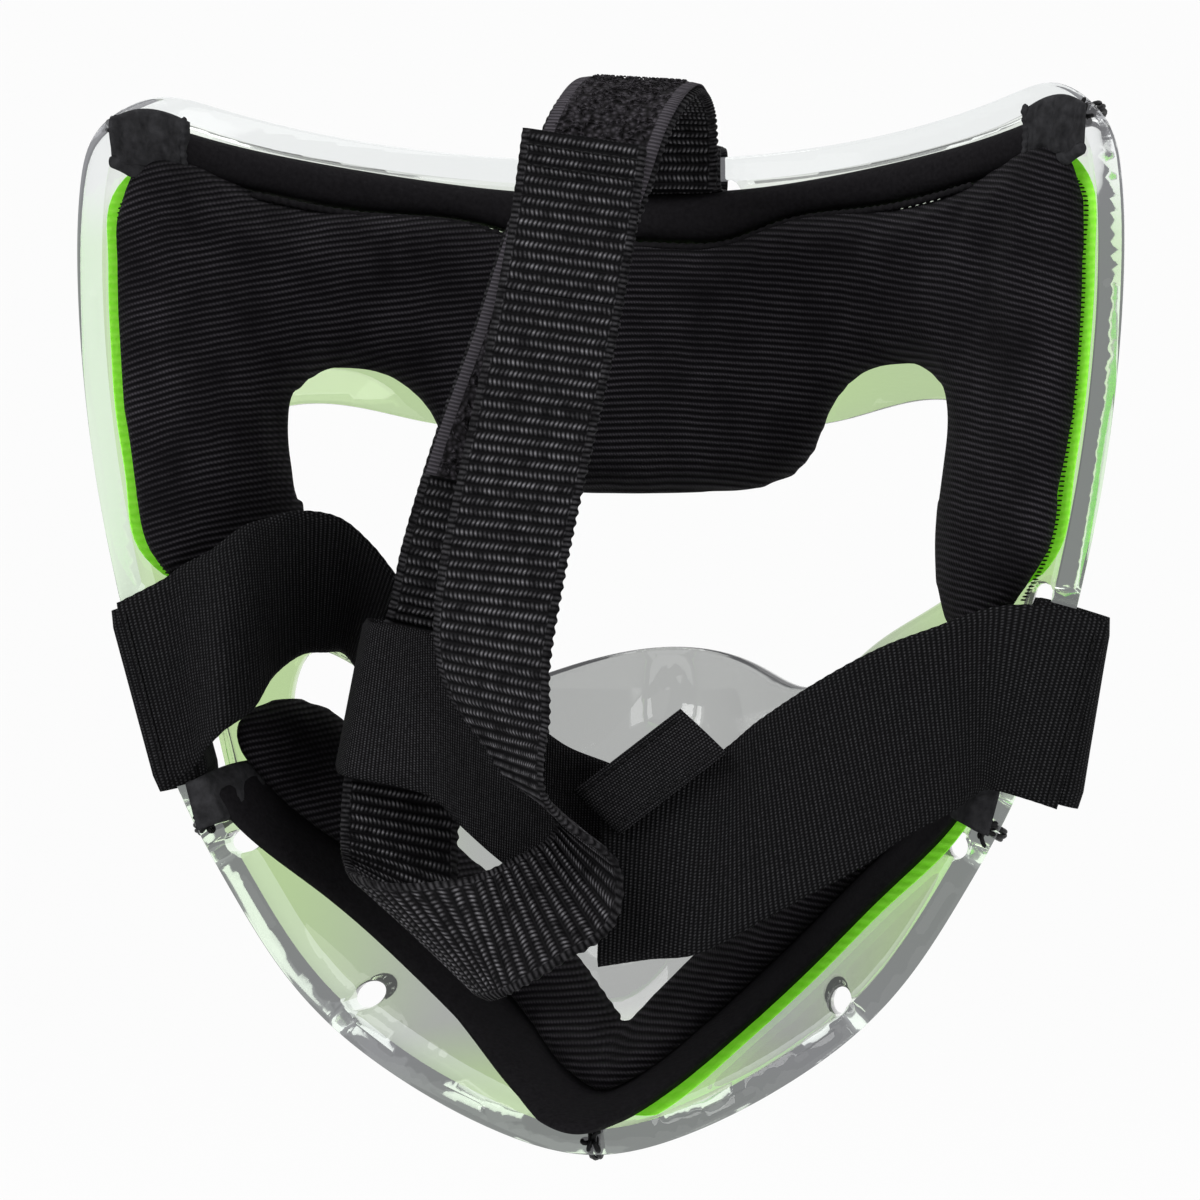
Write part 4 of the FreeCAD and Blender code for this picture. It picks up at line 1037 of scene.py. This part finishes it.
def tape_between(name, outer, inner, back, thickness, material, power=2.4, columns=15, closing=3.0,
                 folds=0.0, pitch=5.0, floor=None):
    """Tape laid between two front view lines with equally many points: flat behind, its front bulging by a
    superellipse across, and thinning to nothing at both ends by a quarter circle, with slanting folds that
    follow a cosine of the way."""
    share = np.linspace(0, 1, columns)
    bulge = (1 - np.abs(2 * share - 1) ** power) ** (1 / power)
    flat = outer[:, None] * (1 - share)[None, :, None] + inner[:, None] * share[None, :, None]
    ways = ways_along(outer)
    near = np.clip(np.minimum(ways, ways[-1] - ways) / closing, 0.02, 1)
    wave = 1 + folds * np.cos(2 * math.pi * (ways[:, None] / pitch + 0.6 * share[None, :] ** 2))
    rise = 0.1 + thickness * np.sqrt(near * (2 - near))[:, None] * bulge[None, :] * wave
    flat = flat.reshape(-1, 2)
    raised, low = (inset_points(flat, back + lift.ravel(), False, floor).reshape(*rise.shape, 3)
                   for lift in (rise, 0 * rise))
    verts = np.concatenate([raised, low[:, ::-1]], axis=1)
    width = np.linalg.norm(outer - inner, axis=1)[:, None] * (share[None, :] - 0.5)
    uv = grid_map(np.concatenate([width, width[:, ::-1]], axis=1), ways)
    return make_mesh(name, verts.reshape(-1, 3), tube_faces(len(outer), 2 * columns), uv, material)


def whole_run(half, samples):
    """Smooth open line through a right half run that starts at the middle, and its mirror image."""
    return spline(np.vstack([flipped(half)[:-1], half]), samples)


def seam_cord(name, line, inset, radius, pitch, material):
    """Twisted seam along a front view line at an inset from the shell's face."""
    path = even(inset_points(line, inset, False), 0.35, closed=False)
    return make_mesh(name, *tube_part(path, radius, (0.0, 1.0, 0.05), ripple=0.16, pitch=pitch), material)


def thread_tie(name, place, along, material, ends):
    """Bundle of thread round the rim: three rounds side by side, a knot and two cut ends. Each round is an
    oval in the plane square to the rim, leaning along the rim by a sine of its turn."""
    depth = float(front(place[0], place[1], False)) - WALL * 0.6
    middle = np.array([place[0], depth, place[1]])
    run = np.array([along[0], 0.0, along[1]])
    inward = inward_at(place, along)
    inward = np.array([inward[0], 0.0, inward[1]])
    forward = np.array([0.0, 1.0, 0.0])
    turn = np.linspace(0, 2 * math.pi, 48, endpoint=False)[:, None]
    parts = []
    for shift, lean, size in ((-0.9, 0.5, 0.0), (0.0, -0.4, 0.35), (0.85, 0.3, 0.1)):
        reach = np.where(np.cos(turn) > 0, TIE_REACH + size, TIE_REACH - 1.1 + size)
        path = middle + inward * np.cos(turn) * reach - forward * np.sin(turn) * (TIE_REACH + size) + \
            run * (shift + lean * np.sin(turn))
        parts.append(tube_part(path, THREAD_RADIUS, run, closed=True, ripple=0.08, pitch=1.1))
    knot = middle - forward * (TIE_REACH + 0.4) + run * 0.2
    swirl = knot + inward * 1.15 * (np.sin(turn) + 0.9 * np.sin(2 * turn)) + \
        run * 1.15 * (np.cos(turn) - 0.9 * np.cos(2 * turn)) - forward * 0.75 * np.sin(3 * turn)
    parts.append(tube_part(swirl, THREAD_RADIUS, forward, closed=True))
    share = np.linspace(0, 1, 14)[:, None]
    for side, reach in zip((1, -1), ends):
        path = knot + run * side * reach * share + inward * (0.8 * np.sin(3 * share) - 2.2 * share) - \
            forward * (0.3 + 1.4 * np.sin(2.4 * share))
        parts.append(tube_part(path, THREAD_RADIUS * 0.9, forward))
    return make_mesh(name, *joined(parts), material)


# Finishes
webbing, tape, knit, lining = webbing_material(RIB), tape_material(), knit_material(), lining_material()
# Two copies of one plastic: the shell's grey tone is partly the plastic's own and partly painted shade for
# the darker surroundings it reflects; the rim's copy is paler and glows more, painted light along the thick
# rim.
clear = shell_material("clear_plastic", (0.42, 0.43, 0.42), (0.50, 0.69, 0.32), (0.76, 0.80, 0.74),
                       roughness=0.02, wave=0.12, bending=1.5, glow=0.02)
clear_rim = shell_material("clear_rim", (0.74, 0.76, 0.77), (0.62, 0.76, 0.56), (0.74, 0.76, 0.75),
                           roughness=0.04, wave=0.1, bending=1.38, glow=0.085)
elastic = elastic_material("elastic", 0.95, 0.62, (0.06, 0.06, 0.064), 0.2)
smooth_elastic = elastic_material("smooth_elastic", 0.62, 0.55, (0.085, 0.084, 0.09), 0.16)
binding = smooth_cloth_material("binding", (0.003, 0.0028, 0.0034), (0.016, 0.015, 0.017), depth=0.14)
tab_cloth = smooth_cloth_material("tab_cloth", (0.003, 0.003, 0.0034), (0.05, 0.05, 0.054), 0.85, 520.0, 0.5)
thread = smooth_cloth_material("thread", (0.003, 0.003, 0.003), (0.009, 0.009, 0.01), 0.5, gloss=0.12)


# Pieces
def keep(piece, body, slot, *nodes):
    """The piece rides on a body and replaces CAD nodes, which are hidden. Its slot is not used."""
    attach(piece, body)
    if nodes:
        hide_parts(*nodes)
    return piece


def add_pad(name, node, line, sewn, sizes, crease=0.0, gathers=()):
    """Foam pad with its knit face, from its edge, crown, roll, mesh spacing, voxel and greatest swelling."""
    *shape, voxel, swelling = sizes
    pad = cushion(name, line, whole_run(sewn, 200), BACK + CLOTH, *shape, knit, crease, gathers)
    pad = swollen(pad, voxel, swelling, BACK + CLOTH, RIM_WIDTH + GAP)
    keep(pad, "mask", "black_knit", node)


def pad_lining(name, line):
    """Green cloth behind a pad."""
    return flat_cloth(name, line, BACK, CLOTH - KNIT_GAP, LINING_SPACING, lining)


def add_forehead_pad():
    """The three-pronged pad and its lining, which is drawn in under the pad all but along its outer sides."""
    add_pad("forehead_cushion", "forehead_pad", forehead_line(SEWN, LINE_STEP), placed(PAD_TOP),
            FOREHEAD_SIZES, gathers=GATHERS)
    edge = forehead_line(REVEAL, LINE_STEP)
    edge = drawn_in(edge, 2.8 * ramp(np.abs(edge[:, 0]), 90, 84))
    backing = pad_lining("forehead_lining", edge)
    keep(backing,
         "mask", "green_cloth", "forehead_pad_backing")


def add_chin_pad():
    """The chin's pad and its lining, which shows along its right lower edge only."""
    add_pad("chin_cushion", "chin_pad", chin_line(BINDING_WIDTH - BINDING_LAP, CHIN_SIZES[3]),
            placed(CHIN_OUTER)[::-1], CHIN_SIZES, CHIN_FOLD)
    edge = chin_line(-REVEAL, LINE_STEP)
    hidden = np.maximum(ramp(edge[:, 0], 12, 2), ramp(edge[:, 1], -44, -39)) * (REVEAL + 2.5)
    upper_edge = 1.5 + 2.5 * ramp(np.abs(edge[:, 0]), 35, 45)
    edge = drawn_in(edge, np.where(side_of(edge)[:, 1] < 0, hidden, upper_edge))
    backing = pad_lining("chin_lining", edge)
    keep(backing,
         "mask", "green_cloth", "chin_pad_backing")


def add_bindings():
    """Tape over the top edge of the forehead pad, with the seam that holds it, and tape round the chin pad,
    which widens a little towards its left end."""
    upper = whole_run(placed(BINDING_TOP) - (0, BINDING_DROP), 260)
    lower = whole_run(placed(PAD_TOP) - (0, CLOTH), 260)
    keep(tape_between("forehead_tape", upper, lower, BACK + BINDING_GAP, BINDING_RISE, binding),
         "mask", "binding", "forehead_binding")
    seam = whole_run(placed(PAD_TOP)[:-1] - (0, SEAM_DROP), 260)
    keep(seam_cord("forehead_seam", seam, *PAD_SEAM, binding), "mask", "binding")
    outer = np.vstack([placed(CHIN_OUTER)[::-1], placed([CHIN_TAPE_END])])
    inner = outer + left_of(outer, outer[1] * (-1, 1), placed([CHIN_TAPE_AFTER])) * BINDING_WIDTH
    outer, inner = whole_run(outer, 260), whole_run(inner, 260)
    outer = outer + (outer - inner) / BINDING_WIDTH * CHIN_TAPE_WIDENING * ramp(outer[:, :1], 4, -10)
    keep(tape_between("chin_tape", outer, inner, BACK + BINDING_GAP, BINDING_RISE, binding),
         "mask", "binding", "chin_binding")


def add_tabs():
    """Folded cloth ends at the crowns and by the cheeks. A crown's is rolled below and sewn down outside."""
    for side, name in SIDES:
        high, low = spline(CROWN_TAB_HIGH * (side, 1), 30), spline(CROWN_TAB_LOW * (side, 1), 30)
        tab = tape_between("crown_tab_" + name, high, low, BACK + CROWN_TAB_LIFT, CROWN_TAB_RISE, tab_cloth,
                           *TAB_SECTION, *CROWN_TAB_FOLDS)
        keep(tab, "mask", "binding", "corner_tab_" + name)
        keep(seam_cord("crown_roll_" + name, low, *CROWN_ROLL, tab_cloth), "mask", "binding")
        middle = (high[1] + low[1]) / 2 + (side * 0.4, 0)
        end = spline(np.stack([high[1] + (0.0, 0.6), middle, low[1] - (0.0, 1.0)]), 16)
        keep(seam_cord("crown_edge_" + name, end, *CROWN_SEAM, tab_cloth), "mask", "binding")
        high, low = spline(CHEEK_TAB_HIGH * (side, 1), 20), spline(CHEEK_TAB_LOW * (side, 1), 20)
        tab = tape_between("cheek_tab_" + name, high, low, BACK + RIM_STEP, CHEEK_TAB_RISE, tab_cloth,
                           *TAB_SECTION, *CHEEK_TAB_FOLDS, CHEEK_TAB_FLOOR)
        keep(tab, "mask", "binding", "chin_tab_" + name)


def add_ties():
    """The thread round the rim at every tie."""
    for name, (place, along) in tie_places().items():
        tie = thread_tie(name.replace("tie", "thread"), place, along, thread, TIE_ENDS[name])
        keep(tie, "mask", "thread", name)


def add_overcast():
    """Black stitches down both arms, where the knit meets the green lining."""
    for side, name in SIDES:
        z = heights(PAD_ARM)
        arm = np.stack([rim_width_at(z, RIM_WIDTH + GAP + REVEAL + SEWN), z], axis=1)
        edge = np.vstack([placed(PAD_TOP)[-1:] - (0, 4.0), arm, placed(PAD_FOOT)[:1]])
        path = even(inset_points(spline(edge, 80) * (side, 1), BACK + 1.3, False), 0.95, closed=False)
        outwards, upwards = unit(np.array([side * 1.0, 0.45, 0.0])), np.array([-side * 0.41, -0.912, 0.0])
        row = stitches("arm_overcast_" + name, path + outwards * 0.3, outwards, upwards, *OVERCAST, thread)
        keep(row, "mask", "thread")


def add_seam(name, stations, share, reach, spacing, lift, size, body):
    """Row of stitches across a strap, on its side towards the wearer."""
    points, across, up = on_strap(stations, share, np.arange(-reach, reach + 0.1, spacing), lift)
    keep(stitches(name, points, across, up, *size, thread), body, "thread")


def add_top_strap():
    """The strap over the head and its free end, the tapes that hold it and the seams across its tip."""
    length = way(TOP_STRAP, 1)[2][-1]
    hinge = 1 - TIP_LENGTH / length
    body_run = way(TOP_STRAP, int(length * hinge / RIB) * RIB_ROWS, 0, hinge)
    end_run = way(TOP_STRAP, 140, hinge + HINGE_GAP, 1.0)
    for name, run, body, node in (("top_webbing", body_run, "top_strap", "top_strap_webbing"),
                                  ("top_strap_tip", end_run, "strap_end", "top_strap_end")):
        keep(strap(name, run, WEBBING, WEBBING_THICK - 0.3, webbing, rib=RIB_RISE, pitch=RIB, scallop=0.2,
                   columns=22), body, "webbing", node)
    keep(strap("pile_tape", way(TOP_STRAP, 300, PILE_START, PILE_END), WEBBING * TAPE_SHARE, TAPE_THICK - 0.3,
               tape, shift=TAPE_SHIFT, rib=0.12, pitch=1.1, scallop=0.04), "top_strap", "tape", "loop_tape")
    keep(strap("hook_strip", end_run, WEBBING * TAPE_SHARE, TAPE_THICK - 0.2, tape, shift=TAPE_SHIFT),
         "strap_end", "tape", "hook_tape")
    for name, share in (("tip_seam_1", 0.993), ("tip_seam_2", 0.984)):
        add_seam(name, TOP_STRAP, share, 10.5, 1.9, WEBBING_THICK / 2 + 0.1, TIP_SEAM, "strap_end")


def add_pile():
    """Loops of the pile: short bowed threads that lie every way over the tape."""
    rng = np.random.default_rng(7)
    middles, sideways, _ = way(TOP_STRAP, PILE_LOOPS, PILE_START, PILE_END)
    forwards, sideways = unit(np.gradient(middles, axis=0)), unit(sideways)
    ups = np.cross(forwards, sideways)
    off = rng.uniform(-PILE_REACH, PILE_REACH, PILE_LOOPS + 1)[:, None]
    places = middles + sideways * off + ups * (TAPE_SHIFT + TAPE_THICK * 0.36)
    turns = rng.uniform(0, math.pi, PILE_LOOPS + 1)[:, None]
    threads = forwards * np.cos(turns) + sideways * np.sin(turns)
    keep(stitches("pile_loops", places, threads, ups, *PILE_LOOP, tape, bow=2.6), "top_strap", "tape")


def add_elastic():
    """The elastic round the head, its keeper and hem, and its ends sewn round the side slots."""
    for name, stations, side in (("left", LEFT_BAND, -1), ("right", RIGHT_BAND, 1)):
        band = strap(name + "_elastic", way(stations, 160), ELASTIC, ELASTIC_THICK, elastic, columns=24,
                     rib=0.12, pitch=0.95, scallop=0.06)
        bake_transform(band)
        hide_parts("headband_" + name)
    for name, stations, steps, share, layers, node in (
            ("keeper_elastic", KEEPER, 200, KEEPER_SHARE, 1, "headband_keeper"),
            ("elastic_hem", HEM, 60, HEM_SHARE, 2, "headband_end_fold")):
        keep(strap(name, way(stations, steps), ELASTIC * share, ELASTIC_THICK * layers, smooth_elastic,
                   columns=24), "headband", "elastic", node)
    for name, share in (("hem_seam_near", 0.12), ("hem_seam_far", 0.90)):
        add_seam(name, HEM, share, 11.0, 1.8, ELASTIC_THICK + 0.05, HEM_SEAM, "headband")
    for name, side, low_reach, high_reach in (("left", -1, LEFT_REACH, LEFT_REACH),
                                              ("right", 1, RIGHT_LOW_REACH, RIGHT_TOP_REACH)):
        keep(side_loop(name + "_loop", side, low_reach, high_reach, elastic),
             "mask", "elastic", "headband_end_" + name)
    for name, stations, share in (("left", LEFT_BAND, 0.012), ("right", RIGHT_BAND, 0.02)):
        add_seam("loop_seam_" + name, stations, share, 17.0, 1.8, ELASTIC_THICK / 2 + 0.1, LOOP_SEAM, "mask")


keep(make_shell(clear, clear_rim), "mask", "clear_shell", "shell")
add_forehead_pad()
add_chin_pad()
add_bindings()
add_tabs()
add_ties()
add_overcast()
add_top_strap()
add_pile()
add_elastic()
keep(anchor_loop(webbing), "mask", "webbing", "strap_anchor_loop")


# Floor, lights and camera
def pale_surface():
    """Pale floor and backdrop that the camera, glass and gloss see as white, under the object's shadow."""
    material, tree, shader = new_material("pale_floor", Base_Color=(0.9, 0.9, 0.9, 1), Roughness=0.9)
    ray = add_node(tree, "ShaderNodeLightPath")
    seen = ray.outputs["Is Camera Ray"]
    for kind in ("Is Glossy Ray", "Is Transmission Ray"):
        seen = math_node(tree, "MAXIMUM", seen, ray.outputs[kind])
    white = add_node(tree, "ShaderNodeEmission", {"Color": (1, 1, 1, 1), "Strength": 1.0})
    mix = add_node(tree, "ShaderNodeMixShader",
                   {0: times(tree, seen, 0.95), 1: shader.outputs[0], 2: white.outputs[0]})
    output = tree.nodes["Material Output"]
    tree.links.new(mix.outputs[0], output.inputs["Surface"])
    return material


def add_floor():
    """Floor that rises into a backdrop behind the object: flat, a quarter circle, then upright."""
    turn = np.linspace(0, math.pi / 2, 24)
    radius, level, reach = 900.0, -260.0, 3200.0
    y = np.concatenate([[-5200.0], reach - radius + radius * np.sin(turn), [reach]])
    z = np.concatenate([[level], level + radius * (1 - np.cos(turn)), [level + 4200.0]])
    x = np.linspace(-5200.0, 5200.0, 3)
    grid = np.stack(np.broadcast_arrays(x[:, None], y, z), axis=2)
    index = np.arange(3 * len(y)).reshape(3, len(y))
    quads = np.stack([index[:-1, :-1], index[1:, :-1], index[1:, 1:], index[:-1, 1:]], axis=2).reshape(-1, 4)
    make_mesh("floor", grid.reshape(-1, 3), quads.tolist(), None, pale_surface())


def add_lamp(name, place, aim, size, power):
    """Rectangular soft lamp that faces a point."""
    data = bpy.data.lights.new(name, "AREA")
    data.shape, data.size, data.size_y, data.energy = "RECTANGLE", size[0], size[1], power
    lamp = bpy.data.objects.new(name, data)
    lamp.location = place
    lamp.rotation_euler = (Vector(aim) - Vector(place)).to_track_quat("-Z", "Y").to_euler()
    bpy.context.scene.collection.objects.link(lamp)


def add_camera():
    """Camera at the photograph's angle: 10 degrees to the right of square on, 1.1 m off, long lens."""
    turn, distance = math.radians(10.0), 1.1
    place = Vector((math.sin(turn), -math.cos(turn), 0)) * distance
    right = Vector((math.cos(turn), math.sin(turn), 0))
    aim = right * 0.0016
    data = bpy.data.cameras.new("camera")
    data.sensor_width, data.lens = 36.0, 165.0
    camera = bpy.data.objects.new("camera", data)
    camera.location = place
    camera.rotation_euler = (aim - place).to_track_quat("-Z", "Y").to_euler()
    bpy.context.scene.collection.objects.link(camera)
    bpy.context.scene.camera = camera


add_floor()
add_lamp("key", (-1.1, -1.4, 1.3), (0, 0, 0), (1.5, 1.5), 34)
add_lamp("fill", (1.5, -1.2, 0.6), (0, 0, 0), (1.2, 1.6), 15)
add_lamp("top", (0, 0.3, 1.9), (0, 0, 0), (1.6, 1.6), 18)
add_camera()
world = bpy.data.worlds.new("studio")
world.use_nodes = True
world.node_tree.nodes["Background"].inputs[0].default_value = (1, 1, 1, 1)
world.node_tree.nodes["Background"].inputs[1].default_value = 0.22
bpy.context.scene.world = world
bpy.context.scene.view_settings.view_transform = "Standard"
